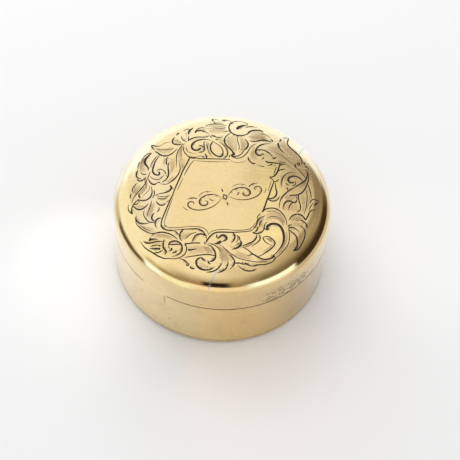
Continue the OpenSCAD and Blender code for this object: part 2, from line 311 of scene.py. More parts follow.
 (6, 13, 7, (322,-472), (323,-496), (312,-525), (290,-550), (260,-570), (230,-588), (198,-606)),
 (10, 10, 5, (345,-475), (355,-500), (350,-530), (330,-555), (305,-580), (284,-602)),
 (6, 8, 12, (208,-618), (240,-630), (270,-655), (293,-676)),
 (4, 7, 8, (248,-697), (275,-692), (293,-679)),
 (13, 13, 12, (291,-675), (320,-690), (345,-705), (375,-718), (405,-722), (435,-715), (465,-700), (480,-685), (482,-667)),
 (8, 8, 6, (481,-668), (491,-688), (497,-703)),
 (6, 9, 9, (495,-697), (488,-716), (470,-735), (440,-753), (410,-768), (375,-775), (340,-783)),
 (12, 8, 15, (345,-780), (320,-794), (290,-797), (260,-791), (238,-777)),
 (9, 11, 10, (148,-786), (180,-779), (212,-788), (243,-786)),
 (4, 10, 5, (173,-803), (200,-825), (230,-840), (265,-843), (296,-838), (320,-830), (336,-818)),
 (7, 11, 6, (378,-497), (400,-485), (426,-483), (455,-500), (478,-524), (487,-546), (480,-572), (460,-601), (430,-635), (400,-661), (370,-685), (348,-697)),
 (9, 9, 5, (378,-499), (385,-520), (400,-540), (420,-555), (447,-569)),
]
# Shading lines: (how many, width at start, in the middle, at the end, first guide, last guide). The lines lie
# between two guides, and each starts and stops a little differently, as the hand does.
SHADING = [
 # upper left leaf and lobes
 (6, 3, 5, 3, ((-672,438),(-630,428),(-580,428),(-530,440),(-492,462)), ((-645,400),(-605,378),(-565,368),(-522,384),(-478,422))),
 (3, 3, 5, 3, ((-492,545),(-484,520),(-464,508),(-436,508)), ((-462,560),(-452,540),(-430,524),(-405,516))),
 (3, 3, 5, 3, ((-402,652),(-392,622),(-384,590),(-378,555)), ((-372,640),(-376,610),(-374,585),(-370,560))),
 (4, 3, 6, 3, ((-404,505),(-425,470),(-440,430),(-444,380),(-440,320)), ((-402,470),(-410,430),(-408,380),(-400,330),(-392,280))),
 (4, 3, 5, 3, ((-425,320),(-415,270),(-400,225),(-392,180)), ((-372,330),(-368,290),(-374,245),(-386,200))),
 (5, 3, 5, 3, ((-515,325),(-508,280),(-500,230),(-495,180),(-492,125)), ((-462,335),(-458,285),(-460,235),(-466,185),(-476,135))),
 (4, 3, 6, 3, ((-470,110),(-485,80),(-510,55),(-530,42)), ((-424,108),(-440,75),(-465,45),(-495,28))),
 # top leaf and the oval
 (6, 3, 5, 3, ((-200,712),(-160,722),(-110,730),(-60,728),(-18,718)), ((-172,655),(-130,648),(-85,652),(-45,662),(-10,676))),
 (5, 3, 5, 3, ((-195,755),(-150,780),(-100,800),(-55,812)), ((-190,742),(-140,752),(-80,756),(-25,748))),
 (4, 3, 5, 3, ((-285,690),(-265,700),(-240,706),(-212,704)), ((-288,672),(-262,684),(-235,682),(-205,670))),
 (4, 3, 5, 3, ((-310,562),(-275,574),(-235,578),(-195,576)), ((-300,545),(-265,560),(-225,566),(-180,560))),
 (3, 3, 5, 3, ((-158,525),(-165,490),(-162,455),(-148,415),(-124,385)), ((-178,520),(-190,485),(-186,450),(-170,405),(-145,368))),
 (4, 3, 5, 3, ((-60,560),(-25,530),(2,495),(20,455),(24,415),(12,375)), ((-100,560),(-58,535),(-22,498),(0,460),(6,425),(-2,392))),
 (4, 3, 5, 3, ((-40,640),(-42,605),(-44,570),(-40,545)), ((-110,600),(-100,590),(-88,580),(-70,565))),
 # pear leaf
 (6, 3, 6, 3, ((14,648),(-2,610),(-8,570),(6,530),(30,492),(58,455)), ((84,640),(82,600),(88,560),(96,515),(98,475),(90,430))),
 (6, 3, 6, 3, ((100,640),(110,600),(124,555),(132,510),(128,468),(116,432)), ((162,632),(178,590),(186,545),(182,500),(164,460),(140,425))),
 # top right leaf
 (7, 3, 6, 3, ((200,708),(240,716),(285,716),(325,706),(355,690)), ((192,600),(240,606),(290,618),(340,626),(388,622))),
 (6, 3, 6, 3, ((186,640),(215,650),(260,660),(310,664),(360,658)), ((205,590),(250,598),(295,612),(340,622),(372,620))),
 # between the upper right scroll and its leaf
 (9, 3, 6, 3, ((402,566),(450,556),(500,525),(555,478),(605,430),(648,384)), ((356,500),(400,488),(438,458),(470,420),(510,388),(560,356))),
 (7, 3, 6, 3, ((452,400),(500,385),(555,352),(600,318),(640,285)), ((480,352),(520,348),(560,325),(600,292),(655,262))),
 (7, 3, 6, 3, ((528,652),(540,600),(566,556),(606,515),(642,478),(672,430)), ((488,600),(500,560),(528,518),(566,478),(606,438),(646,398))),
 (6, 3, 5, 3, ((262,448),(272,420),(286,400),(306,388)), ((236,500),(222,455),(222,410),(240,370),(262,345))),
 (4, 3, 5, 3, ((220,540),(238,500),(246,460),(250,420)), ((250,548),(258,510),(262,475),(266,440))),
 # right leaf and scroll
 (6, 3, 6, 3, ((742,305),(748,265),(744,225),(728,188)), ((682,318),(700,285),(716,255),(722,225))),
 (6, 3, 6, 3, ((655,236),(622,240),(592,236),(566,214),(548,180),(542,140)), ((650,222),(622,222),(596,210),(576,186),(566,160),(566,132))),
 (5, 3, 6, 3, ((510,245),(514,200),(512,150),(510,100),(506,50)), ((545,240),(530,200),(520,160),(520,110),(524,70))),
 (6, 3, 6, 3, ((656,84),(622,54),(590,24),(560,-12),(540,-50)), ((600,82),(578,40),(552,0),(530,-45),(520,-90))),
 (5, 3, 6, 3, ((690,124),(716,140),(736,165),(744,190)), ((676,78),(710,92),(736,118),(752,150))),
 (5, 3, 6, 3, ((700,-2),(704,-45),(714,-90),(722,-140),(715,-188)), ((742,5),(744,-50),(742,-105),(736,-150),(724,-190))),
 (3, 3, 5, 3, ((768,30),(772,-10),(770,-60),(764,-110),(756,-160)), ((786,0),(786,-40),(780,-80),(772,-120),(762,-170))),
 (7, 3, 6, 3, ((558,-112),(552,-140),(552,-170),(556,-195)), ((652,-104),(668,-130),(672,-160),(662,-190))),
 (3, 3, 5, 3, ((836,-66),(826,-80),(816,-98),(808,-118)), ((858,-50),(850,-66),(840,-82),(830,-98))),
 (6, 3, 6, 3, ((566,-2),(560,-30),(566,-55),(580,-72)), ((664,-8),(652,-30),(636,-50),(610,-72))),
 # right lower leaf
 (4, 3, 6, 3, ((614,-282),(636,-256),(668,-240),(702,-238),(726,-256)), ((618,-318),(645,-285),(682,-270),(715,-270),(742,-290))),
 (7, 3, 6, 3, ((702,-348),(724,-375),(732,-410),(728,-455),(712,-505),(690,-560)), ((660,-392),(684,-418),(698,-452),(700,-495),(692,-540),(680,-575))),
 (4, 3, 6, 3, ((626,-305),(662,-308),(705,-308),(738,-330)), ((628,-345),(664,-346),(706,-352),(744,-392))),
 (3, 3, 5, 3, ((590,-380),(598,-430),(600,-480),(588,-540),(562,-595),(530,-645),(505,-678)), ((572,-425),(576,-475),(572,-525),(558,-572),(535,-618),(505,-658))),
 # arches by the big scroll
 (7, 3, 6, 3, ((388,-212),(422,-194),(462,-190),(500,-203),(536,-236),(560,-280),(572,-325)), ((400,-330),(424,-308),(455,-292),(488,-292),(515,-304),(538,-332),(552,-372))),
 (5, 3, 6, 3, ((330,-290),(330,-330),(336,-372),(330,-420)), ((392,-262),(374,-300),(368,-342),(374,-392))),
 (3, 14, 18, 10, ((404,-506),(424,-518),(446,-540)), ((436,-498),(454,-512),(468,-536))),
 (3, 4, 6, 3, ((474,-566),(450,-602),(422,-634),(390,-662)), ((458,-560),(434,-590),(404,-620),(372,-650))),
 (4, 3, 6, 3, ((140,-650),(190,-668),(240,-684),(286,-690)), ((124,-700),(180,-722),(240,-736),(300,-742))),
 (4, 3, 6, 3, ((318,-702),(366,-726),(414,-732),(458,-716)), ((330,-760),(386,-760),(430,-750),(470,-728))),
 # rosette and the foliage beside it
 (3, 3, 6, 3, ((140,-488),(150,-515),(148,-545),(134,-572)), ((162,-512),(166,-538),(162,-562),(148,-590))),
 (4, 3, 6, 3, ((182,-625),(225,-604),(264,-580),(294,-552)), ((214,-628),(250,-610),(290,-582),(318,-556))),
 (3, 3, 5, 3, ((86,-600),(110,-612),(136,-616),(160,-612)), ((96,-626),(120,-634),(146,-636),(170,-630))),
 (8, 3, 7, 3, ((-40,-606),(-12,-640),(4,-680),(6,-725),(-6,-770)), ((62,-642),(100,-680),(124,-712),(132,-742),(122,-775))),
 (6, 3, 6, 3, ((4,-692),(22,-730),(28,-768),(22,-800)), ((60,-690),(82,-730),(92,-765),(90,-800))),
 # tube and curls
 (5, 3, 5, 3, ((-272,-640),(-220,-632),(-160,-628),(-108,-630)), ((-274,-736),(-212,-722),(-150,-708),(-90,-702),(-46,-712))),
 (6, 3, 6, 3, ((-108,-628),(-84,-640),(-62,-660),(-50,-685),(-44,-712)), ((-150,-640),(-130,-655),(-112,-675),(-102,-698),(-98,-712))),
 (3, 3, 5, 3, ((-170,-792),(-164,-822),(-142,-844),(-106,-852),(-72,-846)), ((-130,-802),(-118,-818),(-96,-828),(-70,-826))),
 (4, 3, 6, 3, ((-334,-490),(-342,-522),(-346,-560),(-336,-590)), ((-218,-500),(-252,-516),(-282,-546),(-298,-582))),
 (3, 3, 6, 3, ((-224,-535),(-232,-565),(-238,-595)), ((-160,-520),(-190,-532),(-208,-560),(-216,-592))),
 (4, 3, 5, 3, ((-420,-640),(-400,-612),(-372,-606),(-350,-618)), ((-410,-640),(-390,-628),(-372,-624),(-356,-632))),
 # lower left
 (5, 3, 6, 3, ((-738,-424),(-702,-450),(-660,-464),(-618,-470),(-580,-478)), ((-742,-444),(-706,-486),(-662,-508),(-612,-520),(-570,-522))),
 (5, 3, 6, 3, ((-590,-548),(-545,-536),(-495,-534),(-445,-546),(-402,-564)), ((-575,-582),(-530,-572),(-480,-574),(-440,-584),(-408,-594))),
 (7, 3, 6, 3, ((-642,-190),(-652,-240),(-666,-290),(-674,-335),(-660,-378)), ((-592,-205),(-602,-250),(-612,-300),(-626,-350),(-634,-395))),
 (3, 3, 5, 3, ((-768,-202),(-742,-226),(-712,-240),(-684,-238)), ((-772,-248),(-744,-268),(-712,-266),(-688,-254))),
 (5, 3, 6, 3, ((-796,-2),(-806,-50),(-808,-92),(-806,-130)), ((-728,-20),(-744,-60),(-764,-100),(-788,-140))),
 (5, 3, 6, 3, ((-682,0),(-688,-40),(-704,-80),(-728,-118)), ((-712,-20),(-732,-62),(-750,-98),(-756,-130))),
 (3, 3, 5, 3, ((-600,-128),(-566,-140),(-530,-142),(-500,-132)), ((-588,-165),(-556,-178),(-526,-176),(-500,-160))),
 (3, 3, 5, 3, ((-622,-612),(-585,-606),(-548,-600),(-515,-600)), ((-600,-640),(-568,-642),(-540,-636),(-512,-634))),
 # left
 (6, 3, 6, 3, ((-752,304),(-772,255),(-778,205),(-772,150),(-766,112)), ((-702,340),(-730,300),(-742,250),(-734,205),(-722,165),(-716,130))),
 (4, 3, 5, 3, ((-742,100),(-726,60),(-716,20),(-704,-20)), ((-698,60),(-690,20),(-690,-20),(-694,-60))),
 (4, 3, 6, 3, ((-628,346),(-650,310),(-668,270),(-676,225),(-674,180)), ((-612,332),(-630,290),(-644,250),(-654,205),(-660,165))),
 (4, 3, 5, 3, ((-560,335),(-570,295),(-572,250),(-562,205)), ((-535,330),(-545,290),(-548,250),(-545,205))),
]


def flourish():
    """A mirrored pen flourish for the middle of the panel: a lozenge between two pairs of scrolls."""
    half = [
        (3, 11, 4, (34, 4), (70, 44), (126, 66), (188, 58), (232, 24), (236, -18), (206, -42), (172, -32), (164, -4), (182, 12)),
        (3, 10, 4, (36, -6), (84, -46), (150, -74), (228, -80), (300, -58), (344, -14), (338, 28), (306, 40), (284, 20), (294, -2)),
        (9, 9, 3, (246, 54), (284, 74), (334, 72)),
        (3, 6, 3, (96, 92), (140, 106), (190, 98), (226, 72)),
        (7, 7, 3, (112, -8), (134, 6), (140, 26)),
        (3, 5, 3, (352, -52), (378, -30), (388, 4)),
    ]
    centre = [
        (5, 9, 5, (0, 34), (10, 12), (20, 0)), (5, 9, 5, (20, 0), (10, -12), (0, -34)),
        (5, 9, 5, (0, -34), (-10, -12), (-20, 0)), (5, 9, 5, (-20, 0), (-10, 12), (0, 34)),
        (8, 10, 4, (0, 62), (0, 76), (0, 98)), (8, 10, 4, (0, -62), (0, -76), (0, -98)),
    ]
    cuts = centre + half + [c[:3] + tuple((-x, y) for x, y in c[3:]) for c in half]
    a = math.radians(21)
    turned = []
    for c in cuts:
        turned.append(c[:3] + tuple((18 + x * math.cos(a) - y * math.sin(a), -92 + x * math.sin(a) + y * math.cos(a)) for x, y in c[3:]))
    return turned


def curve(points, n=6):
    """A smooth line through the points, centripetal so that it makes no loops of its own."""
    P = np.array(points, float)
    if len(P) == 2:
        t = np.linspace(0, 1, n + 1)[:, None]
        return P[0] * (1 - t) + P[1] * t
    Q = np.vstack([2 * P[0] - P[1], P, 2 * P[-1] - P[-2]])
    out = []
    for i in range(1, len(Q) - 2):
        p0, p1, p2, p3 = Q[i - 1:i + 3]
        t0 = 0.0
        t1 = t0 + max(1e-6, np.hypot(*(p1 - p0))) ** .5
        t2 = t1 + max(1e-6, np.hypot(*(p2 - p1))) ** .5
        t3 = t2 + max(1e-6, np.hypot(*(p3 - p2))) ** .5
        steps = max(2, min(n, int(round(np.hypot(*(p2 - p1)) / 6.5))))
        for t in np.linspace(t1, t2, steps, endpoint=False):
            A1 = (t1 - t) / (t1 - t0) * p0 + (t - t0) / (t1 - t0) * p1
            A2 = (t2 - t) / (t2 - t1) * p1 + (t - t1) / (t2 - t1) * p2
            A3 = (t3 - t) / (t3 - t2) * p2 + (t - t2) / (t3 - t2) * p3
            B1 = (t2 - t) / (t2 - t0) * A1 + (t - t0) / (t2 - t0) * A2
            B2 = (t3 - t) / (t3 - t1) * A2 + (t - t1) / (t3 - t1) * A3
            out.append((t2 - t) / (t2 - t1) * B1 + (t - t1) / (t2 - t1) * B2)
    out.append(P[-1])
    return np.array(out)


def evenly(points, m):
    C = curve(points, 8)
    L = np.r_[0, np.cumsum(np.hypot(*np.diff(C, axis=0).T))]
    s = np.linspace(0, L[-1], m)
    return np.stack([np.interp(s, L, C[:, 0]), np.interp(s, L, C[:, 1])], 1)


def shading_cuts():
    """The fine lines between each pair of guides, about 12 apart, each starting and stopping a little differently."""
    k, m = 0, 7
    for n, w0, w1, w2, A, B in SHADING:
        n, w0, w1, w2 = round(n * 1.45), w0 * .8, w1 * .72, w2 * .8
        a, b = evenly(A, m), evenly(B, m)
        gap = np.hypot(*(a - b).T)
        for i in range(n):
            t = (i + .5 + .2 * math.sin(12.9 * k)) / n
            c = a * (1 - t) + b * t
            room = float(np.median(gap)) / n
            fit = min(1.0, max(.6, room / 8))
            lo, hi = .06 + .06 * math.sin(7.3 * k), .94 + .06 * math.sin(4.1 * k + 1)
            tight = gap / n < 3.6          # where the guides run together every second line stops
            if i % 2 and tight.any():
                u = np.linspace(0, 1, m)[~tight]
                if len(u) < 3:
                    k += 1
                    continue
                lo, hi = max(lo, u[0]), min(hi, u[-1])
            u = np.linspace(0, 1, m)
            s = np.linspace(lo, hi, 6)
            c = np.stack([np.interp(s, u, c[:, 0]), np.interp(s, u, c[:, 1])], 1)
            g = (1 + .22 * math.sin(5.7 * k + 2)) * fit
            yield (w0 * fit, w1 * g, w2 * fit) + tuple(map(tuple, c))
            k += 1


def width_along(w0, w1, w2, s):
    return w0 * (2 * (s - .5) * (s - 1)) + w1 * (4 * s * (1 - s)) + w2 * (2 * s * (s - .5))


class Cut:
    """One cut of the graver: its middle line and half widths in millimetres, how steep its sides are and how dark it is."""

    def __init__(self, w0, w1, w2, points, kind):
        C = curve(points)
        keep = np.r_[True, np.hypot(*np.diff(C, axis=0).T) > 1.2]
        keep[-1] = True
        C = C[keep]
        if len(C) > 2 and np.hypot(*(C[-1] - C[-2])) < 1.2:
            C = np.delete(C, -2, 0)
        L = np.r_[0, np.cumsum(np.hypot(*np.diff(C, axis=0).T))]
        w = np.maximum(width_along(w0, w1, w2, L / L[-1]) * (1.16 if kind < 2 else 1.0), 1.7)
        self.line = C * R / 1000
        self.half = w * R / 2000
        self.kind = kind
        deepest = {0: 0.17, 1: 0.12, 2: 0.055}[kind]
        self.slope = min(0.85, deepest / self.half.max())
        T = np.gradient(self.line, axis=0)
        T /= np.maximum(1e-9, np.hypot(*T.T))[:, None]
        self.across = np.stack([-T[:, 1], T[:, 0]], 1)
        self.along = T

    def outline(self):
        a = self.line + self.across * self.half[:, None]
        b = self.line - self.across * self.half[:, None]
        caps = []
        for i, sign in ((-1, 1), (0, -1)):
            h = self.half[i]
            n = 3 if h > 0.09 else 1
            cap = []
            for k in range(1, n + 1):
                q = math.pi * k / (n + 1)
                cap.append(self.line[i] + sign * (self.across[i] * math.cos(q) * h + self.along[i] * math.sin(q) * h * (1.0 if n > 1 else 1.5)))
            caps.append(cap)
        return np.vstack([a, caps[0], b[::-1], caps[1]])

    def near(self, P):
        """(distance to the middle line, half width there, vector from it) for points P."""
        A, B = self.line[:-1], self.line[1:]
        d = B - A
        n2 = (d * d).sum(1)
        t = np.clip(((P[:, None] - A) * d).sum(2) / n2, 0, 1)
        q = A + t[..., None] * d
        v = P[:, None] - q
        dist = np.hypot(v[..., 0], v[..., 1])
        h = self.half[:-1] * (1 - t) + self.half[1:] * t
        i = np.argmax(h - dist, axis=1)
        rows = np.arange(len(P))
        return dist[rows, i], h[rows, i], v[rows, i]


def all_cuts():
    made = []
    for c in CUTS:
        made.append(Cut(*c[:3], c[3:], 0 if max(c[:3]) >= 7.5 else 1))
    for c in flourish():
        made.append(Cut(*c[:3], c[3:], 0 if max(c[:3]) >= 7.5 else 1))
    for c in shading_cuts():
        made.append(Cut(*c[:3], c[3:], 2))
    return made


def dished(P, cuts):
    """(depth, number of the deepest cut or -1) at points P of the plan."""
    depth = np.zeros(len(P))
    which = np.full(len(P), -1)
    for i, c in enumerate(cuts):
        pad = c.half.max()
        lo, hi = c.line.min(0) - pad, c.line.max(0) + pad
        near = np.nonzero(((P > lo) & (P < hi)).all(1))[0]
        if not len(near):
            continue
        dist, half, _ = c.near(P[near])
        d = c.slope * (half - dist)
        better = d > depth[near] + 1e-9
        depth[near[better]] = d[better]
        which[near[better]] = i
    return depth, which


# ---------------------------------------------------------------- the turned skins
def waver(x, y):
    """Very slight hollows of hand-planished sheet: (height from -1 to 1, its slope in x, in y), x and y in millimetres."""
    h = gx = gy = 0.0
    for kx, ky, p in ((.31, .17, 1.0), (.12, -.36, 2.2), (-.42, .22, 4.0), (.52, .47, .6), (-.09, .61, 3.1)):
        h = h + np.sin(kx * x + ky * y + p) / 5
        gx = gx + kx * np.cos(kx * x + ky * y + p) / 5
        gy = gy + ky * np.cos(kx * x + ky * y + p) / 5
    return h, gx, gy


def lid_surface(P):
    """Height and unit normal of the lid's outer skin over points P of the plan, within the disc."""
    r = np.hypot(P[:, 0], P[:, 1])
    on_dome = r < DOME_R * math.sin(DOME_A)
    on_side = r > TOP[0] + TOP_R * math.sin(math.pi / 4)
    sin_a = np.where(on_dome, r / DOME_R, np.where(on_side, (r - SIDE[0]) / SIDE_R, np.clip((r - TOP[0]) / TOP_R, -1, 1)))
    cos_a = np.sqrt(1 - sin_a ** 2)
    z = np.where(on_dome, DOME_Z + DOME_R * cos_a, np.where(on_side, SIDE[1] + SIDE_R * cos_a, TOP[1] + TOP_R * cos_a))
    unit = P / np.maximum(r, 1e-9)[:, None]
    n = np.concatenate([unit * sin_a[:, None], cos_a[:, None]], 1)
    h, gx, gy = waver(P[:, 0], P[:, 1])
    fade = np.clip((24.6 - r) / 3.0, 0, 1)          # the hollows end on the shoulder
    z = z - 0.010 * (1 + h) / 2 * fade
    n[:, 0] += 0.005 * gx * fade
    n[:, 1] += 0.005 * gy * fade
    n /= np.linalg.norm(n, axis=1)[:, None]
    return z, n


def arc(cx, cz, rad, a0, a1, n, out=1.0):
    """Points of a profile (r, z, nr, nz) on an arc, angles measured from +Z towards +r."""
    return [(cx + rad * math.sin(a), cz + rad * math.cos(a), out * math.sin(a), out * math.cos(a)) for a in np.linspace(a0, a1, n)]


def straight(p, q, n, ends=(0, 1)):
    """Points of a straight part of a profile whose material lies to the right of the way from p to q."""
    dr, dz = q[0] - p[0], q[1] - p[1]
    L = math.hypot(dr, dz)
    nr, nz = -dz / L, dr / L
    return [(p[0] + dr * t, p[1] + dz * t, nr, nz) for t in np.linspace(0, 1, n)]


class Builder:
    """Collects the points, faces, corner normals, slots, dirt and painted shade, and bake map of one mesh."""

    def __init__(self):
        self.co, self.faces, self.normals, self.slots, self.uv, self.dirt_and_shade = [], [], [], [], [], []
        self.count = 0

    def add(self, co, dirt_and_shade=None):
        first = self.count
        self.co.append(np.asarray(co, float))
        self.dirt_and_shade.append(np.zeros(len(co)) if dirt_and_shade is None else np.asarray(dirt_and_shade, float))
        self.count += len(co)
        return first

    def face(self, ids, normals, slot, uv):
        self.faces.append(ids)
        self.normals.extend(normals)
        self.slots.append(slot)
        self.uv.extend(uv)


def turned(b, groups, uv_of, dirt_and_shade_of=None, first_ring=None, last_ring=None, slot_of=None, shape=None):
    """Turns a profile into a skin. groups is a list of smooth parts, each a list of (r, z, nr, nz); neighbouring parts share a ring and keep a crisp edge. A ring at r 0 becomes one point."""
    ang = np.arange(SEGS) * 2 * math.pi / SEGS
    ca, sa = np.cos(ang), np.sin(ang)
    prev_ring = first_ring
    for gi, g in enumerate(groups):
        rings = []
        for k, (r, z, nr, nz) in enumerate(g):
            last_of_all = gi == len(groups) - 1 and k == len(g) - 1
            if k == 0 and prev_ring is not None:
                rings.append(prev_ring)
                continue
            if last_of_all and last_ring is not None:
                rings.append(last_ring)
                continue
            if r < 1e-6:
                rings.append([b.add([(0, 0, z)])])
                continue
            rr = np.full(SEGS, float(r))
            zz = np.full(SEGS, float(z))
            if shape is not None:
                rr, zz = shape(rr, zz, ang, nr, nz)
            d = None if dirt_and_shade_of is None else dirt_and_shade_of(r, z, ang)
            first = b.add(np.stack([rr * ca, rr * sa, zz], 1), d)
            rings.append(list(range(first, first + SEGS)))
        for k in range(len(g) - 1):
            A, B = rings[k], rings[k + 1]
            (r0, z0, nr0, nz0), (r1, z1, nr1, nz1) = g[k], g[k + 1]
            slot = 0 if slot_of is None else slot_of((r0 + r1) / 2, (z0 + z1) / 2)
            for i in range(SEGS):
                j = (i + 1) % SEGS
                n0i, n0j = (nr0 * ca[i], nr0 * sa[i], nz0), (nr0 * ca[j], nr0 * sa[j], nz0)
                n1i, n1j = (nr1 * ca[i], nr1 * sa[i], nz1), (nr1 * ca[j], nr1 * sa[j], nz1)
                u = [uv_of(r0, z0, i), uv_of(r1, z1, i), uv_of(r1, z1, i + 1), uv_of(r0, z0, i + 1)]
                if len(A) == 1:
                    b.face((A[0], B[i], B[j]), (n0i, n1i, n1j), slot, (u[0], u[1], u[2]))
                elif len(B) == 1:
                    b.face((A[i], B[0], A[j]), (n0i, n1i, n0j), slot, (u[0], u[1], u[3]))
                else:
                    b.face((A[i], B[i], B[j], A[j]), (n0i, n1i, n1j, n0j), slot, tuple(u))
        prev_ring = rings[-1]
    return prev_ring


def to_object(b, name, materials):
    co = np.vstack(b.co) * MM
    me = bpy.data.meshes.new(name)
    me.from_pydata(co.tolist(), [], b.faces)
    for m in materials:
        me.materials.append(m)
    me.polygons.foreach_set("material_index", np.array(b.slots, np.int32))
    me.polygons.foreach_set("use_smooth", np.ones(len(b.faces), bool))
    layer = me.uv_layers.new(name="OFBake")
    layer.data.foreach_set("uv", np.array(b.uv, np.float32).ravel())
    a = me.attributes.new("dirt_and_shade", "FLOAT", "POINT")
    a.data.foreach_set("value", np.concatenate(b.dirt_and_shade).astype(np.float32))
    me.normals_split_custom_set(np.array(b.normals, np.float32))
    me.validate()
    me.update()
    ob = bpy.data.objects.new(name, me)
    bpy.context.scene.collection.objects.link(ob)
    return ob


def ring_uv(centre, scale):
    def uv(rho, i):
        a = i * 2 * math.pi / SEGS
        return (centre[0] + scale * rho * math.cos(a), centre[1] + scale * rho * math.sin(a))
    return uv


def broken(a, spans, soft=0.03):
    """1 where angle a (degrees, 0 at +X) lies in one of the spans, and 0 elsewhere, with soft ends."""
    out = np.zeros(len(a))
    for lo, hi, amount in spans:
        mid, half = (lo + hi) / 2, (hi - lo) / 2
        off = np.abs((a - mid + 180) % 360 - 180)
        out = np.maximum(out, amount * np.clip((half - off) / (soft * 60) + .5, 0, 1))
    return out


def seam_dirt_and_shade(ang):
    """How dark the fine groove between lid and base is, round the box: grime in the joint and painted shade in the gap,
    weaker or left out where light catches the edges.
    """
    deg = np.degrees(ang)
    deg = (deg + 180) % 360 - 180
    return broken(deg, [(-175, -131, .9), (-116, -45, 1.0), (-36, -20, .9), (-20, 60, .55), (60, 130, .8), (130, 176, .7)])


def make_lid(materials):
    b = Builder()
    cuts = all_cuts()
    ang = np.arange(SEGS) * 2 * math.pi / SEGS
    ring = DISC_R * np.stack([np.cos(ang), np.sin(ang)], 1)
    pts, edges = [ring], [(i, (i + 1) % SEGS) for i in range(SEGS)]
    n = SEGS
    for c in cuts:
        o = c.outline()
        k = len(o)
        pts.append(o)
        edges += [(n + i, n + (i + 1) % k) for i in range(k)]
        n += k
        k = len(c.line)
        pts.append(c.line)
        edges += [(n + i, n + i + 1) for i in range(k - 1)]
        n += k
    # an even field of points for the plain parts
    step = 0.62
    g = []
    row = 0
    y = -DISC_R
    while y < DISC_R:
        xs = np.arange(-DISC_R, DISC_R, step) + (step / 2 if row % 2 else 0)
        g.append(np.stack([xs, np.full(len(xs), y)], 1))
        y += step * .866
        row += 1
    g = np.vstack(g)
    g = g[np.hypot(g[:, 0], g[:, 1]) < DISC_R - 0.32]
    clear = np.ones(len(g), bool)
    for c in cuts:
        pad = c.half.max() + 0.17
        lo, hi = c.line.min(0) - pad, c.line.max(0) + pad
        near = np.nonzero(((g > lo) & (g < hi)).all(1))[0]
        if len(near):
            dist, half, _ = c.near(g[near])
            clear[near[dist < half + 0.17]] = False
    pts.append(g[clear])
    P = np.vstack(pts)
    verts, _, faces, *_ = delaunay_2d_cdt([tuple(p) for p in P], edges, [], 0, 1e-5, False)
    V = np.array([tuple(v) for v in verts])
    F = np.array([f for f in faces if len(f) == 3])
    a, bb, c3 = V[F[:, 0]], V[F[:, 1]], V[F[:, 2]]
    area = ((bb - a)[:, 0] * (c3 - a)[:, 1] - (bb - a)[:, 1] * (c3 - a)[:, 0]) / 2
    F[area < 0] = F[area < 0][:, ::-1]
    F = F[np.abs(area) > 1e-9]
    z, N = lid_surface(V)
    depth, _ = dished(V, cuts)
    depth[depth < 2e-4] = 0
    mid = V[F].mean(1)
    mdepth, mwhich = dished(mid, cuts)
    in_cut = mdepth > 2e-3
    # the rim ring takes the places that the turned skin has
    r = np.hypot(V[:, 0], V[:, 1])
    rim = np.nonzero(r > DISC_R - 1e-4)[0]
    order = rim[np.argsort((np.arctan2(V[rim, 1], V[rim, 0]) + 2 * math.pi + 1e-6) % (2 * math.pi))]
    assert len(order) == SEGS, len(order)
    depth[rim] = 0
    co = np.concatenate([V, (z - depth)[:, None]], 1)
    first = b.add(co, np.where(depth > 0, 1.0, 0.0))
    scale = 0.38 / 39.2
    C0 = (0.39, 0.39)
    normals = N[F]                                   # face, corner, xyz
    for ci in np.unique(mwhich[in_cut]):
        c = cuts[ci]
        fs = np.nonzero(in_cut & (mwhich == ci))[0]
        md, mh, mv = c.near(mid[fs])
        mu = mv / np.maximum(md, 1e-6)[:, None]
        for k in range(3):
            d, h, v = c.near(V[F[fs, k]])
            u = np.where((d < .3 * h)[:, None], mu, v / np.maximum(d, 1e-6)[:, None])
            flip = (u * mu).sum(1) < .2
            u[flip] = mu[flip]
            nn = N[F[fs, k]].copy()
            nn[:, :2] -= u * c.slope
            normals[fs, k] = nn / np.linalg.norm(nn, axis=1)[:, None]
    kind = np.array([c.kind for c in cuts])
    slots = np.where(in_cut, 1 + kind[np.clip(mwhich, 0, None)], 0)
    uv = np.array(C0) + scale * V[F]
    F2 = F + first
    b.faces.extend(map(tuple, F2.tolist()))
    b.normals.extend(normals.reshape(-1, 3).tolist())
    b.slots.extend(slots.tolist())
    b.uv.extend(uv.reshape(-1, 2).tolist())
    # the rest of the outer skin, the mouth and the inner skin
    a0 = math.asin((DISC_R - SIDE[0]) / SIDE_R)
    z0 = SIDE[1] + SIDE_R * math.cos(a0)
    outer = arc(*SIDE, SIDE_R, a0, math.pi / 2, 15) \
        + [(R, zz, 1, 0) for zz in np.r_[np.linspace(SIDE[1], SEAM + .6, 7)[1:], SEAM + .3, SEAM + CHAMFER + .06, SEAM + CHAMFER]]
    edge = straight((R, SEAM + CHAMFER), (R - CHAMFER, SEAM), 2)
    mouth = straight((R - CHAMFER, SEAM), (BORE + .15, SEAM), 3)
    ease = straight((BORE + .15, SEAM), (BORE, SEAM + .3), 2)
    inside = straight((BORE, SEAM + .3), (BORE, SIDE[1]), 5) + arc(*SIDE, SIDE_R - WALL, math.pi / 2, math.pi / 4, 9, -1)[1:] \
        + arc(*TOP, TOP_R - WALL, math.pi / 4, DOME_A, 7, -1)[1:] + arc(0, DOME_Z, DOME_R - WALL, DOME_A, 0, 12, -1)[1:]
    big, small = ring_uv(C0, scale), ring_uv((.83, .83), .155 / 40.5)

    def uv_out(r_, z_, i):
        return big(r_ + z0 - z_ if z_ > SEAM + 1e-6 else DISC_R + z0 - SEAM + (R - DISC_R) + (R - r_) * .3 - CHAMFER * .3, i)

    def uv_in(r_, z_, i):
        return small(r_ + TOTAL - WALL - z_, i)

    def dirt_and_shade(r_, z_, ang_):
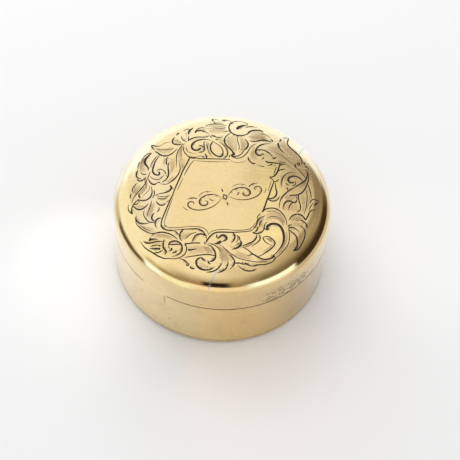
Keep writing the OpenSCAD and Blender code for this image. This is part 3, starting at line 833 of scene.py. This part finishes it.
        # grime and painted shade in the seam, and a faint trace of them on the wall beside it
        if z_ < SEAM + CHAMFER + .01 and r_ > BORE + .3:
            return seam_dirt_and_shade(ang_)
        if r_ > R - 1e-3 and z_ < SEAM + CHAMFER + .1:
            return seam_dirt_and_shade(ang_) * .12
        return None

    last = turned(b, [outer, edge], uv_out, dirt_and_shade, first_ring=[int(i) + first for i in order])
    turned(b, [mouth, ease, inside], uv_in, dirt_and_shade, first_ring=last)
    return to_object(b, "lid_engraved", materials)


def make_band(materials):
    b = Builder()
    seam_at = math.radians(-117.1)                   # the soldered joint that closes the band

    def shape(rr, zz, ang, nr, nz):
        off = (ang - seam_at + math.pi) % (2 * math.pi) - math.pi
        groove = np.exp(-(off * R / .16) ** 2)
        if nr > .5:
            rr = rr - 0.02 * groove * np.clip((zz - 3) / 12, .2, 1)
            rr = rr - 0.006 * (1 + np.sin(3 * ang + 1) * np.cos(zz * .21)) / 2
        return rr, zz

    outer = [(R, zz, 1, 0) for zz in np.r_[SEAM - CHAMFER, SEAM - CHAMFER - .06, np.linspace(SEAM - .5, PAN_H + .5, 15), PAN_H + SOLDER]]
    sold = straight((R, PAN_H + SOLDER), (R - SOLDER, PAN_H), 2)
    under = straight((R - SOLDER, PAN_H), (BORE, PAN_H), 2)
    inner = straight((BORE, PAN_H), (BORE, SEAM), 8)
    rim = straight((BORE, SEAM), (R - CHAMFER, SEAM), 3)
    edge = straight((R - CHAMFER, SEAM), (R, SEAM - CHAMFER), 2)
    big, small = ring_uv((.36, .36), .35 / 38), ring_uv((.83, .83), .155 / 40)

    def uv_of(r_, z_, i):
        if r_ > R - CHAMFER - 1e-6:
            return big(22 + z_, i)
        return small(22 + z_ + (r_ - BORE), i)

    def dirt_and_shade(r_, z_, ang_):
        # grime and painted shade in the seam at the band's top edge
        if z_ > SEAM - CHAMFER - .01 and r_ > R - CHAMFER - .01:
            return seam_dirt_and_shade(ang_)
        if z_ < PAN_H + .01:
            return np.full(len(ang_), .9)
        off = (ang_ - seam_at + math.pi) % (2 * math.pi) - math.pi
        if r_ > R - .1:
            return .55 * (np.abs(off * R) < .25) * float(np.clip((z_ - 12.2) / 1.5, 0.0, 1)) * float(z_ < 16.2) + seam_dirt_and_shade(ang_) * (.12 if z_ > SEAM - CHAMFER - .1 else 0) + (.25 if z_ < PAN_H + .12 else 0)
        return None

    first = turned(b, [edge], uv_of, dirt_and_shade, shape=shape)
    # turned() gives only the last ring back, so the closing part meets the first ring by its numbers
    start = list(range(0, SEGS))
    turned(b, [outer, sold, under, inner, rim], uv_of, dirt_and_shade, first_ring=first, last_ring=start, shape=shape)
    return to_object(b, "base_wall", materials)


def make_pan(materials):
    b = Builder()
    cz = FOOT_R
    up = straight((R - SOLDER, PAN_H), (R, PAN_H - SOLDER), 2)
    side = [(R, PAN_H - SOLDER, 1, 0), (R, FOOT_R, 1, 0)] + arc(R - FOOT_R, cz, FOOT_R, math.pi / 2, math.pi, 11)[1:]
    bottom = side + [(rr, 0, 0, -1) for rr in (24, 20, 15, 10, 5)] + [(0, 0, 0, -1)]
    ri = FOOT_R - WALL
    top = [(0, WALL, 0, 1)] + [(rr, WALL, 0, 1) for rr in (5, 10, 15, 20, 24)]
    top += [(R - FOOT_R + ri * math.sin(a), cz + ri * math.cos(a), -math.sin(a), -math.cos(a)) for a in np.linspace(math.pi, math.pi / 2, 7)]
    top += [(BORE, PAN_H, -1, 0)]
    rim = straight((BORE, PAN_H), (R - SOLDER, PAN_H), 2)
    A, B = ring_uv((.3, .3), .28 / 29.8), ring_uv((.7, .7), .28 / 30)

    def uv_a(r_, z_, i):
        return A(r_ + z_, i)

    def uv_b(r_, z_, i):
        return B(r_ + z_ - WALL, i)

    def dirt_and_shade(r_, z_, ang_):
        # darker on the foot's underside, at the joint with the band and in the inside corner
        if r_ > R - 1.2 and z_ < 0.5:
            return np.full(len(ang_), .75)
        if r_ > R - .5 and z_ > PAN_H - SOLDER - .01:
            return np.full(len(ang_), .9)
        if BORE - 1.2 < r_ < BORE + .01 and z_ < 1.3 and z_ > WALL - .01:
            return np.full(len(ang_), .45)
        return None

    last = turned(b, [top, rim], uv_b, dirt_and_shade)
    turned(b, [up, bottom], uv_a, dirt_and_shade, first_ring=last)
    return to_object(b, "base_bottom", materials)


def make_collar(materials):
    b = Builder()
    lo, hi = SEAM - COLLAR_DOWN, SEAM + COLLAR_UP
    ri, ro = BORE - COLLAR_T, BORE - SLIP
    outer = [(ro - .2, hi, .55, .83), (ro - .12, hi - .09, .75, .66), (ro, hi - .3, 1, 0)] + [(ro, zz, 1, 0) for zz in np.linspace(hi - .6, SEAM, 5)]
    step = straight((ro, SEAM), (BORE, SEAM), 2)
    low = [(BORE, SEAM, 1, 0), (BORE, lo, 1, 0)]
    under = straight((BORE, lo), (ri, lo), 2)
    inner = [(ri, zz, -1, 0) for zz in np.linspace(lo, hi - .1, 7)] + [(ri + .03, hi - .03, -.7, .7), (ri + .1, hi, -.2, .98)]
    top = straight((ri + .1, hi), (ro - .2, hi), 2)
    A, B = ring_uv((.3, .3), .28 / 40), ring_uv((.7, .7), .28 / 40)

    def uv_of(r_, z_, i):
        if r_ > (ri + ro) / 2 + .01:
            return A(22 + z_ - 8 + (BORE - r_), i)
        return B(22 + z_ - 8 + (r_ - ri), i)

    def dirt_and_shade(r_, z_, ang_):
        # darker where the collar steps out at the band's rim
        if abs(z_ - SEAM) < .01:
            return np.full(len(ang_), .7)
        return None

    first = turned(b, [top], uv_of, dirt_and_shade)
    turned(b, [outer, step, low, under, inner], uv_of, dirt_and_shade, first_ring=first, last_ring=list(range(0, SEGS)))
    return to_object(b, "collar", materials)


# ---------------------------------------------------------------- materials
class Net:
    """Short names for building a node tree."""

    def __init__(self, name):
        self.mat = bpy.data.materials.new(name)
        self.mat.use_nodes = True
        self.nt = self.mat.node_tree
        self.bsdf = self.nt.nodes["Principled BSDF"]

    def node(self, kind, **props):
        n = self.nt.nodes.new("ShaderNode" + kind)
        for k, v in props.items():
            setattr(n, k, v)
        return n

    def put(self, socket, value):
        if isinstance(value, bpy.types.NodeSocket):
            self.nt.links.new(value, socket)
        else:
            socket.default_value = value

    def math(self, op, a, b=None, c=None, clamp=False):
        n = self.node("Math", operation=op, use_clamp=clamp)
        for s, v in zip(n.inputs, (a, b, c)):
            if v is not None:
                self.put(s, v)
        return n.outputs[0]

    def vec(self, x, y, z):
        n = self.node("CombineXYZ")
        for s, v in zip(n.inputs, (x, y, z)):
            self.put(s, v)
        return n.outputs[0]

    def noise(self, vector, scale, detail=3.0, rough=.5, kind="FBM", distortion=0.0):
        n = self.node("TexNoise")
        self.put(n.inputs["Vector"], vector)
        n.inputs["Scale"].default_value = scale
        n.inputs["Detail"].default_value = detail
        n.inputs["Roughness"].default_value = rough
        n.inputs["Distortion"].default_value = distortion
        return n.outputs[0]

    def span(self, value, lo, hi, to_lo=0.0, to_hi=1.0, smooth=True):
        n = self.node("MapRange", interpolation_type="SMOOTHSTEP" if smooth else "LINEAR")
        self.put(n.inputs[0], value)
        for i, v in enumerate((lo, hi, to_lo, to_hi)):
            n.inputs[i + 1].default_value = v
        return n.outputs[0]

    def mix(self, f, a, b):
        n = self.node("Mix", data_type="RGBA")
        self.put(n.inputs[0], f)
        self.put(n.inputs[6], a if isinstance(a, bpy.types.NodeSocket) else (*a, 1))
        self.put(n.inputs[7], b if isinstance(b, bpy.types.NodeSocket) else (*b, 1))
        return n.outputs[2]

    def turned_by(self, vector, angle, scale):
        n = self.node("Mapping")
        self.put(n.inputs[0], vector)
        n.inputs[2].default_value = angle
        n.inputs[3].default_value = scale
        return n.outputs[0]


def plain(name, colour, metallic, rough):
    net = Net(name)
    net.bsdf.inputs["Base Color"].default_value = (*colour, 1)
    net.bsdf.inputs["Metallic"].default_value = metallic
    net.bsdf.inputs["Roughness"].default_value = rough
    return net.mat


def gilt(name, light, deep, rough, marks_and_light_patches=(), specks=None, dots=(), wall=1.0, flat=1.0, lines=0.0, lacquer=.7, light_and_shade_bands=()):
    """Old gilt brass: two close golds in soft clouds, fine handling scratches, dirt and painted shade where the mesh
    says, bands and patches of painted light and shade, and the marks and specks of this box.
    """
    net = Net(name)
    tc = net.node("TexCoord")
    mm = net.node("Vector" + "Math", operation="SCALE")
    net.put(mm.inputs[0], tc.outputs["Object"])
    mm.inputs["Scale"].default_value = 1000.0
    P = mm.outputs[0]
    sep = net.node("SeparateXYZ")
    net.put(sep.inputs[0], P)
    x, y, z = sep.outputs
    r = net.math("SQRT", net.math("ADD", net.math("MULTIPLY", x, x), net.math("MULTIPLY", y, y)))
    a = net.math("ARCTAN2", x, net.math("MULTIPLY", y, -1.0))      # 0 at the front, the join at the back
    W = net.vec(net.math("MULTIPLY", a, R), z, 0.0)                # the wall laid flat
    upright = net.span(r, 27.2, 27.85)                             # 1 on the upright walls

    clouds = net.span(net.noise(P, .085, 4, .6), .36, .66)
    grain = net.noise(P, 1.1, 6, .62)
    fine = net.noise(P, 6.0, 4, .6)
    colour = net.mix(clouds, light, deep)
    shade = net.math("ADD", net.math("MULTIPLY", net.math("SUBTRACT", grain, .5), .26), 1.0)
    hue = net.node("HueSaturation")
    net.put(hue.inputs["Color"], colour)
    net.put(hue.inputs["Value"], shade)
    colour = hue.outputs[0]

    # fine scratches: three directions on the top, and mostly round the box on the walls
    lines_top = None
    for k, (ang, seed) in enumerate(((.35, 0.0), (-.9, 31.0), (1.55, 57.0))):
        v = net.turned_by(P, (0, 0, ang), (.06, 5.5, .06))
        shifted = net.node("VectorMath", operation="ADD")
        net.put(shifted.inputs[0], v)
        shifted.inputs[1].default_value = (seed, seed, seed)
        s = net.span(net.noise(shifted.outputs[0], 1.0, 2, .5), .655, .70)
        lines_top = s if lines_top is None else net.math("MAXIMUM", lines_top, s)
    lines_wall = None
    for k, (ang, seed) in enumerate(((.0, 3.0), (.12, 23.0), (-.35, 47.0))):
        v = net.turned_by(W, (0, 0, ang), (.07, 5.0, 1.0))
        shifted = net.node("VectorMath", operation="ADD")
        net.put(shifted.inputs[0], v)
        shifted.inputs[1].default_value = (seed, seed, seed)
        s = net.span(net.noise(shifted.outputs[0], 1.0, 2, .5), .64, .70)
        lines_wall = s if lines_wall is None else net.math("MAXIMUM", lines_wall, s)
    m = net.node("Mix", data_type="FLOAT")
    net.put(m.inputs[0], upright)
    net.put(m.inputs[2], net.math("MULTIPLY", lines_top, flat))
    net.put(m.inputs[3], net.math("MULTIPLY", lines_wall, wall))
    scratches = m.outputs[0]

    # painted light and shade round the wall, one side made lighter or darker: (where, how wide, colour, how much)
    for da, half, tint, amount in light_and_shade_bands:
        on = net.math("MULTIPLY", net.span(net.math("ABSOLUTE", net.math("SUBTRACT", a, da)), half, half * .2), upright)
        colour = net.mix(net.math("MULTIPLY", on, amount), colour, tint)

    # brown age, stronger on the upright walls and in soft patches
    age = net.math("MULTIPLY", net.span(net.noise(P, .22, 5, .65), .46, .74), .22 * wall + .10)
    age = net.math("MULTIPLY", age, net.math("ADD", net.math("MULTIPLY", upright, .8), .2))
    colour = net.mix(net.math("MULTIPLY", age, .55), colour, (.42, .27, .11))

    # the dirt from the mesh darkens the colour: grime in joints and cuts, painted shade in the seam, and darker rings
    # on the pan and collar
    dirt_and_shade = net.node("Attribute", attribute_name="dirt_and_shade").outputs["Fac"]
    rub = net.span(net.noise(P, 2.2, 4, .6), .34, .60)
    dirt_and_shade = net.math("MULTIPLY", dirt_and_shade, net.math("ADD", net.math("MULTIPLY", rub, .35), .65), clamp=True)

    if specks is not None:
        a0, a1, z0, z1, amount = specks
        inside = net.math("MULTIPLY", net.span(a, a0 - .12, a0 + .16), net.span(a, a1 + .08, a1 - .16))
        inside = net.math("MULTIPLY", inside, net.span(z, z1 + .6, z1 - 2.2))
        inside = net.math("MULTIPLY", inside, net.span(z, z0 - .2, z0 + .1))
        inside = net.math("MULTIPLY", inside, upright)
        v = net.turned_by(W, (0, 0, -.5), (.8, 1.7, 1.0))
        vo = net.node("TexVoronoi", feature="F1")
        net.put(vo.inputs["Vector"], v)
        vo.inputs["Scale"].default_value = 2.0
        vo.inputs["Randomness"].default_value = 1.0
        patch = net.noise(W, .55, 3, .6)
        reach = net.math("MULTIPLY", net.span(patch, .34, .56), .60)
        dot = net.math("SUBTRACT", reach, vo.outputs["Distance"])
        dot = net.span(dot, -.03, .12)
        dash = net.span(net.noise(net.turned_by(W, (0, 0, -.55), (.5, 3.2, 1)), 1.0, 3, .55), .54, .64)
        dot = net.math("MAXIMUM", net.math("MULTIPLY", dot, 1.0), net.math("MULTIPLY", dash, .75))
        stain = net.math("MULTIPLY", net.math("MULTIPLY", dot, inside), amount)
        colour = net.mix(stain, colour, (.150, .072, .022))
        dirt_and_shade = net.math("MAXIMUM", dirt_and_shade, net.math("MULTIPLY", stain, .15), clamp=True)
    for da, dz, size, amount in dots:
        # a small dark dot on the outside of the wall
        across, along = net.math("MULTIPLY", net.math("SUBTRACT", a, da), R), net.math("SUBTRACT", z, dz)
        d = net.math("SQRT", net.math("ADD", net.math("MULTIPLY", across, across), net.math("MULTIPLY", along, along)))
        d = net.math("MULTIPLY", net.span(d, size * 1.25, size * .5), upright)
        dirt_and_shade = net.math("MAXIMUM", dirt_and_shade, net.math("MULTIPLY", d, amount))
    colour = net.mix(dirt_and_shade, colour, (.130, .068, .038))

    rough_in = net.math("ADD", net.math("MULTIPLY", net.math("SUBTRACT", fine, .5), .10), rough)
    rough_in = net.math("ADD", rough_in, net.math("MULTIPLY", scratches, .10))
    rough_in = net.math("ADD", rough_in, net.math("MULTIPLY", age, .22))
    rough_in = net.math("ADD", rough_in, net.math("MULTIPLY", dirt_and_shade, .35), clamp=True)

    for (x0, y0), (x1, y1), half, tint, amount in marks_and_light_patches:
        # distance from a short line on the plan of the lid, for a mark or a patch of painted light or shade
        dx, dy = x1 - x0, y1 - y0
        L2 = dx * dx + dy * dy
        px, py = net.math("SUBTRACT", x, x0), net.math("SUBTRACT", y, y0)
        t = net.math("DIVIDE", net.math("ADD", net.math("MULTIPLY", px, dx), net.math("MULTIPLY", py, dy)), L2, clamp=True)
        ex, ey = net.math("SUBTRACT", px, net.math("MULTIPLY", t, dx)), net.math("SUBTRACT", py, net.math("MULTIPLY", t, dy))
        d = net.math("SQRT", net.math("ADD", net.math("MULTIPLY", ex, ex), net.math("MULTIPLY", ey, ey)))
        soft = 0.0 if half > 2 else .55
        on = net.math("MULTIPLY", net.span(d, half * 1.3, half * soft), net.span(z, 16.0, 20.0))
        on = net.math("MULTIPLY", on, amount)
        colour = net.mix(on, colour, tint)
        if half > 2:                                               # a patch of painted light or shade, not a mark
            continue
        rough_in = net.math("ADD", rough_in, net.math("MULTIPLY", on, .15), clamp=True)

    colour = net.mix(net.math("MULTIPLY", scratches, .16), colour, (.98, .84, .58))

    net.put(net.bsdf.inputs["Base Color"], colour)
    net.put(net.bsdf.inputs["Roughness"], rough_in)
    net.bsdf.inputs["Metallic"].default_value = 1.0
    net.bsdf.inputs["Coat Weight"].default_value = lacquer
    net.bsdf.inputs["Coat Roughness"].default_value = .08

    height = net.math("ADD", net.math("MULTIPLY", grain, .3), net.math("MULTIPLY", scratches, -.35))
    height = net.math("ADD", height, net.math("MULTIPLY", fine, .12))
    if lines:
        turned_lines = net.noise(net.vec(net.math("MULTIPLY", r, 3.0), net.math("MULTIPLY", z, 3.0), 0.0), 1.0, 2, .5)
        height = net.math("ADD", height, net.math("MULTIPLY", turned_lines, lines))
    bump = net.node("Bump")
    bump.inputs["Strength"].default_value = 1.0
    bump.inputs["Distance"].default_value = 0.000010
    net.put(bump.inputs["Height"], height)
    net.put(net.bsdf.inputs["Normal"], bump.outputs[0])
    return net.mat


GOLD, GOLD_DEEP = (.89, .70, .365), (.85, .65, .315)

lid_gold = gilt("gilt_lid", GOLD, GOLD_DEEP, .095,
                marks_and_light_patches=[((.15, -23.9), (-1.75, -27.3), .29, (.60, .60, .60), .75),
                       ((20.1, 17.0), (19.0, 13.5), .16, (.45, .45, .42), .8),
                       # patches of painted light and shade: brown painted shade on the right, two bright yellow painted
                       # highlights on the flat, and a pale painted reflection on the left
                       ((20.5, 7.0), (17.5, -13.0), 5.5, (.62, .44, .20), .50),
                       ((12.0, 0.0), (12.0, 7.0), 4.4, (1.0, .79, .33), .70),
                       ((11.2, -14.2), (14.2, -12.2), 2.7, (1.0, .79, .33), .75),
                       ((-19.0, 8.0), (-17.0, -11.0), 5.0, (.96, .82, .56), .55)],
                specks=(.44, 1.02, SEAM + .1, SEAM + 5.4, .95), dots=((-.122, 18.1, .2, .6), (-.017, 19.1, .16, .5)), wall=.8, flat=.5,
                # a band of brown painted shade on the lid's wall, towards the right front
                light_and_shade_bands=((.45, 1.15, (.60, .42, .19), .36),))
wall_gold = gilt("gilt_wall", (.815, .605, .265), (.765, .550, .215), .20,
                 dots=((-.424, 6.7, .3, .7), (.17, 5.4, .2, .5), (-.36, 9.6, .16, .4), (-.47, 2.9, .26, .55), (-.43, 2.3, .2, .5), (-.12, 2.6, .16, .4)), wall=1.1, flat=.6, lacquer=.9,
                 # a pale band of painted reflection on the wall at the left, and a brown band of painted shade at the
                 # right
                 light_and_shade_bands=((-.65, 1.0, (.90, .74, .44), .55), (1.05, .8, (.55, .37, .14), .70)))
pan_gold = gilt("gilt_pan", (.87, .68, .37), (.80, .60, .30), .28, wall=1.0, flat=1.0, lines=.8)
collar_gold = gilt("gilt_collar", (.90, .70, .38), (.83, .61, .30), .24, wall=1.4, flat=.6, lines=.5)
cut_deep = plain("cut_deep", (.045, .025, .012), .2, .60)
cut_line = plain("cut_line", (.105, .062, .030), .4, .50)
cut_fine = plain("cut_fine", (.430, .290, .140), .35, .50)

# ---------------------------------------------------------------- the pieces
lid = make_lid([lid_gold, cut_deep, cut_line, cut_fine])
lid.visible_diffuse = False          # polished brass takes little light from the paper round it
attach(lid, "lid"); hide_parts("lid_cap")
band = make_band([wall_gold])
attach(band, "base"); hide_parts("base_band")
pan = make_pan([pan_gold])
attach(pan, "base"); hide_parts("base_pan")
collar = make_collar([collar_gold])
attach(collar, "base"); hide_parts("inner_collar")


# ---------------------------------------------------------------- floor, studio and camera
def sheet_of(name, rings, material, segs=96):
    """A flat ring of floor between two radii, or a disc if the first is 0."""
    co, faces = [], []
    r0, r1 = rings
    for i in range(segs):
        q = 2 * math.pi * i / segs
        co.append((r1 * math.cos(q), r1 * math.sin(q), 0))
        co.append((r0 * math.cos(q), r0 * math.sin(q), 0))
    if r0 == 0:
        faces = [tuple(2 * i for i in range(segs))]
    else:
        for i in range(segs):
            j = (i + 1) % segs
            faces.append((2 * i, 2 * j, 2 * j + 1, 2 * i + 1))
    me = bpy.data.meshes.new(name)
    me.from_pydata(co, [], faces)
    me.materials.append(material)
    ob = bpy.data.objects.new(name, me)
    bpy.context.scene.collection.objects.link(ob)
    return ob


paper = Net("floor_paper")
paper.bsdf.inputs["Base Color"].default_value = (.90, .90, .90, 1)
paper.bsdf.inputs["Roughness"].default_value = .75
paper.bsdf.inputs["Specular IOR Level"].default_value = .2
NEAR = 0.060
floor_near = sheet_of("floor_near", (0, NEAR), paper.mat)
floor_far = sheet_of("floor_far", (NEAR, 4.0), paper.mat)
floor_far.visible_glossy = False

# What the polished metal sees of the room: a bright window wall behind, pale walls, and darker gaps beside them.
# Each is (azimuth from, to, elevation from, to, softness of the first and second side, of the lower and upper edge,
# colour, lean of the sides), in degrees; azimuth 0 is +Y and 90 is +X. Later ones lie over earlier ones.
ROOM = [
    (-180, 180, 0, 90, 1, 1, 10, 10, (.82, .78, .70), 0),            # right half of the upper room
    (8, 124, 0, 66, 10, 40, 8, 18, (.60, .55, .46), 0),              # its lower part
    (-182, 23, 0, 90, 36, 20, 10, 10, (1.02, 1.00, .95), -.2),       # left half of the upper room
    (-180, 180, -90, -2, 1, 1, 10, 10, (.80, .74, .66), 0),          # low part
    (44, 112, -60, -18, 8, 8, 8, 4, (.70, .65, .62), 0),
    (-44, -15, 46, 60, 14, 12, 8, 12, (.94, .97, 1.03), 0),          # a dimmer stretch left of the flat's part
    (-128, -44, -14, 56, 12, 10, 14, 24, (1.11, 1.16, 1.17), 0),     # left wall
    (146, 222, -4, 22, 16, 26, 4, 52, (.34, .28, .17), 0),           # brown front, fading upwards
    (222, 246, -7, 6, 14, 10, 4, 14, (.66, .62, .49), 0),            # its left end
    (203, 231, -8, 3, 12, 8, 4, 10, (.40, .34, .22), 0),
    (28, 150, -16, 32, 10, 24, 6, 56, (.20, .155, .105), 0),         # brown right side, fading upwards
    (24, 62, 44, 60, 10, 12, 8, 14, (.46, .42, .35), 0),             # right of the flat's part
    (18, 62, 14, 50.5, 8, 10, 8, 9, (.34, .29, .25), -.8),            # brown gap beside the window
    (54, 109, -17, 10, 16, 8, 7, 20, (.055, .032, .014), 0),         # dark gap at the right
    (-52, 45, -60, -4, 8, 8, 4, 12, (1.05, 1.18, 1.50), 0),          # window, low part
    (28, 48, -60, -14, 8, 6, 8, 8, (.88, .88, .93), 0),              # greyer at its right end
    (-49, 15, -8, 18, 8, 8, 10, 10, (1.15, 1.30, 1.70), 0),          # window, middle
    (0, 38, -8, 18, 8, 8, 10, 10, (1.15, 1.30, 1.70), -.4),
    (-14, 10, 10, 44, 14, 8, 8, 6, (1.30, 1.50, 1.95), 0),           # window, high part, and its leaning sides
    (-42, -2, 5, 45, 7, 9, 8, 6, (1.30, 1.50, 1.95), .72),
    (2, 31, 5, 44, 9, 6, 8, 6, (1.15, 1.32, 1.72), -.75),
    (108, 160, -28, -12, 8, 12, 8, 6, (.97, .96, 1.0), 0),           # under the next one
    (110, 154, -17, 1.5, 3, 16, 7, 4.5, (1.24, 1.48, 1.72), 0),        # bright low right
    (156, 206, -26, -6, 6, 8, 16, 5, (1.08, 1.00, .92), 0),          # low front
    (202, 233, -33, -11.5, 14, 8, 8, 4, (1.14, 1.26, 1.16), 0),       # bright low left
    (229, 247, -29, -12, 12, 3, 9, 4, (1.20, 1.52, 2.05), 0),
    (262, 289, -31, -14, 12, 6, 8, 12, (.125, .095, .055), 0),         # far end of the next one
    (248, 268, -29.5, -17, 4, 16, 6, 13, (.085, .06, .032), 0),         # dark bar at the left
    (287, 299, -30, -12, 6, 8, 8, 10, (.68, .65, .58), 0),           # its pale end
    (169, 193, -4, 14.5, 9, 6, 6, 8, (.016, .008, .003), 0),            # dark bar at the front
    (193, 201, -3, 6, 4, 6, 4, 5, (.50, .29, .16), 0),               # its reddish end
    (56, 78, 22, 26, 8, 8, 4, 5, (.52, .43, .29), -1.5),              # thin light line at the right
]


def room_colour(az, el):
    def ease(t):
        t = np.clip(t, 0, 1)
        return t * t * (3 - 2 * t)

    c = np.zeros((len(az), 3))
    for a0, a1, e0, e1, s0, s1, low, high, col, lean in ROOM:
        mid, half = (a0 + a1) / 2, (a1 - a0) / 2
        off = (az - lean * (el - (e0 + e1) / 2) - mid + 180) % 360 - 180
        w = ease((half + off) / s0 + .5) * ease((half - off) / s1 + .5) if half < 180 else np.ones(len(az))
        if e0 > -90:
            w = w * ease((el - e0) / low + .5)
        if e1 < 90:
            w = w * ease((e1 - el) / high + .5)
        c = c * (1 - w[:, None]) + np.array(col) * w[:, None]
    return c


def make_room(radius=3.0, n=360, m=181):
    co, faces, az_, el_ = [], [], [], []
    for j in range(m):
        el = -90 + 180 * j / (m - 1)
        for i in range(n):
            az = 360 * i / n
            e, a = math.radians(el), math.radians(az)
            co.append((radius * math.sin(a) * math.cos(e), radius * math.cos(a) * math.cos(e), radius * math.sin(e)))
            az_.append(az); el_.append(el)
    for j in range(m - 1):
        for i in range(n):
            k = (i + 1) % n
            faces.append((j * n + i, j * n + k, (j + 1) * n + k, (j + 1) * n + i))
    me = bpy.data.meshes.new("room")
    me.from_pydata(co, [], faces)
    col = room_colour(np.array(az_), np.array(el_))
    layer = me.attributes.new("glow", "FLOAT_COLOR", "POINT")
    layer.data.foreach_set("color", np.concatenate([col, np.ones((len(col), 1))], 1).astype(np.float32).ravel())
    mat = bpy.data.materials.new("room_glow")
    mat.use_nodes = True
    nt = mat.node_tree
    nt.nodes.clear()
    at = nt.nodes.new("ShaderNodeAttribute"); at.attribute_name = "glow"
    em = nt.nodes.new("ShaderNodeEmission")
    out = nt.nodes.new("ShaderNodeOutputMaterial")
    nt.links.new(at.outputs["Color"], em.inputs["Color"])
    nt.links.new(em.outputs[0], out.inputs["Surface"])
    mat.cycles.emission_sampling = "NONE"
    me.materials.append(mat)
    ob = bpy.data.objects.new("room", me)
    bpy.context.scene.collection.objects.link(ob)
    ob.visible_camera = ob.visible_diffuse = ob.visible_transmission = ob.visible_volume_scatter = ob.visible_shadow = False
    return ob


make_room()


def softbox(name, place, size, power, colour=(1, 1, 1), aim=(0, 0, 0)):
    data = bpy.data.lights.new(name, "AREA")
    data.shape = "DISK"
    data.size = size
    data.energy = power
    data.color = colour
    ob = bpy.data.objects.new(name, data)
    ob.location = place
    ob.rotation_mode = "QUATERNION"
    ob.rotation_quaternion = (Vector(aim) - Vector(place)).to_track_quat("-Z", "Y")
    ob.visible_glossy = ob.visible_camera = False
    bpy.context.scene.collection.objects.link(ob)
    return ob


softbox("window", (-.22, .48, .34), .8, 2.05)
# the light that the gilt walls throw on the paper: warm in front, nearly white at the window side
softbox("bounce_front", (.014, -.041, .012), .046, .00060, (1.0, .50, .06), (.018, -.044, 0))
softbox("bounce_left", (-.034, -.010, .009), .046, .00100, (.98, .98, 1.0), (-.035, -.012, 0))
softbox("bounce_right", (.050, .004, .014), .046, .00045, (1.0, .94, .88), (.051, .004, 0))
world = bpy.data.worlds.new("studio")
bpy.context.scene.world = world
world.use_nodes = True
world.node_tree.nodes["Background"].inputs[0].default_value = (1, 1, 1, 1)
world.node_tree.nodes["Background"].inputs[1].default_value = .815
world.cycles_visibility.glossy = False

e, roll, dist = math.radians(54.562), math.radians(4.042), 12.127
back = np.array((0, -math.cos(e), math.sin(e)))
right = np.array((1.0, 0, 0))
up = np.array((0, math.sin(e), math.cos(e)))
Rv = math.cos(roll) * right + math.sin(roll) * up
Uv = -math.sin(roll) * right + math.cos(roll) * up
C = (dist * back + .101 * Rv + .233 * Uv) * R * MM
cam_data = bpy.data.cameras.new("camera")
cam_data.sensor_width = 36.0
cam_data.lens = 1250 / 460 * 36.0
cam_data.clip_start, cam_data.clip_end = 0.01, 20.0
cam = bpy.data.objects.new("camera", cam_data)
bpy.context.scene.collection.objects.link(cam)
cam.matrix_world = Matrix(((Rv[0], Uv[0], back[0], C[0]), (Rv[1], Uv[1], back[1], C[1]), (Rv[2], Uv[2], back[2], C[2]), (0, 0, 0, 1)))
bpy.context.scene.camera = cam
bpy.context.scene.view_settings.view_transform = "Standard"
bpy.context.scene.view_settings.look = "None"
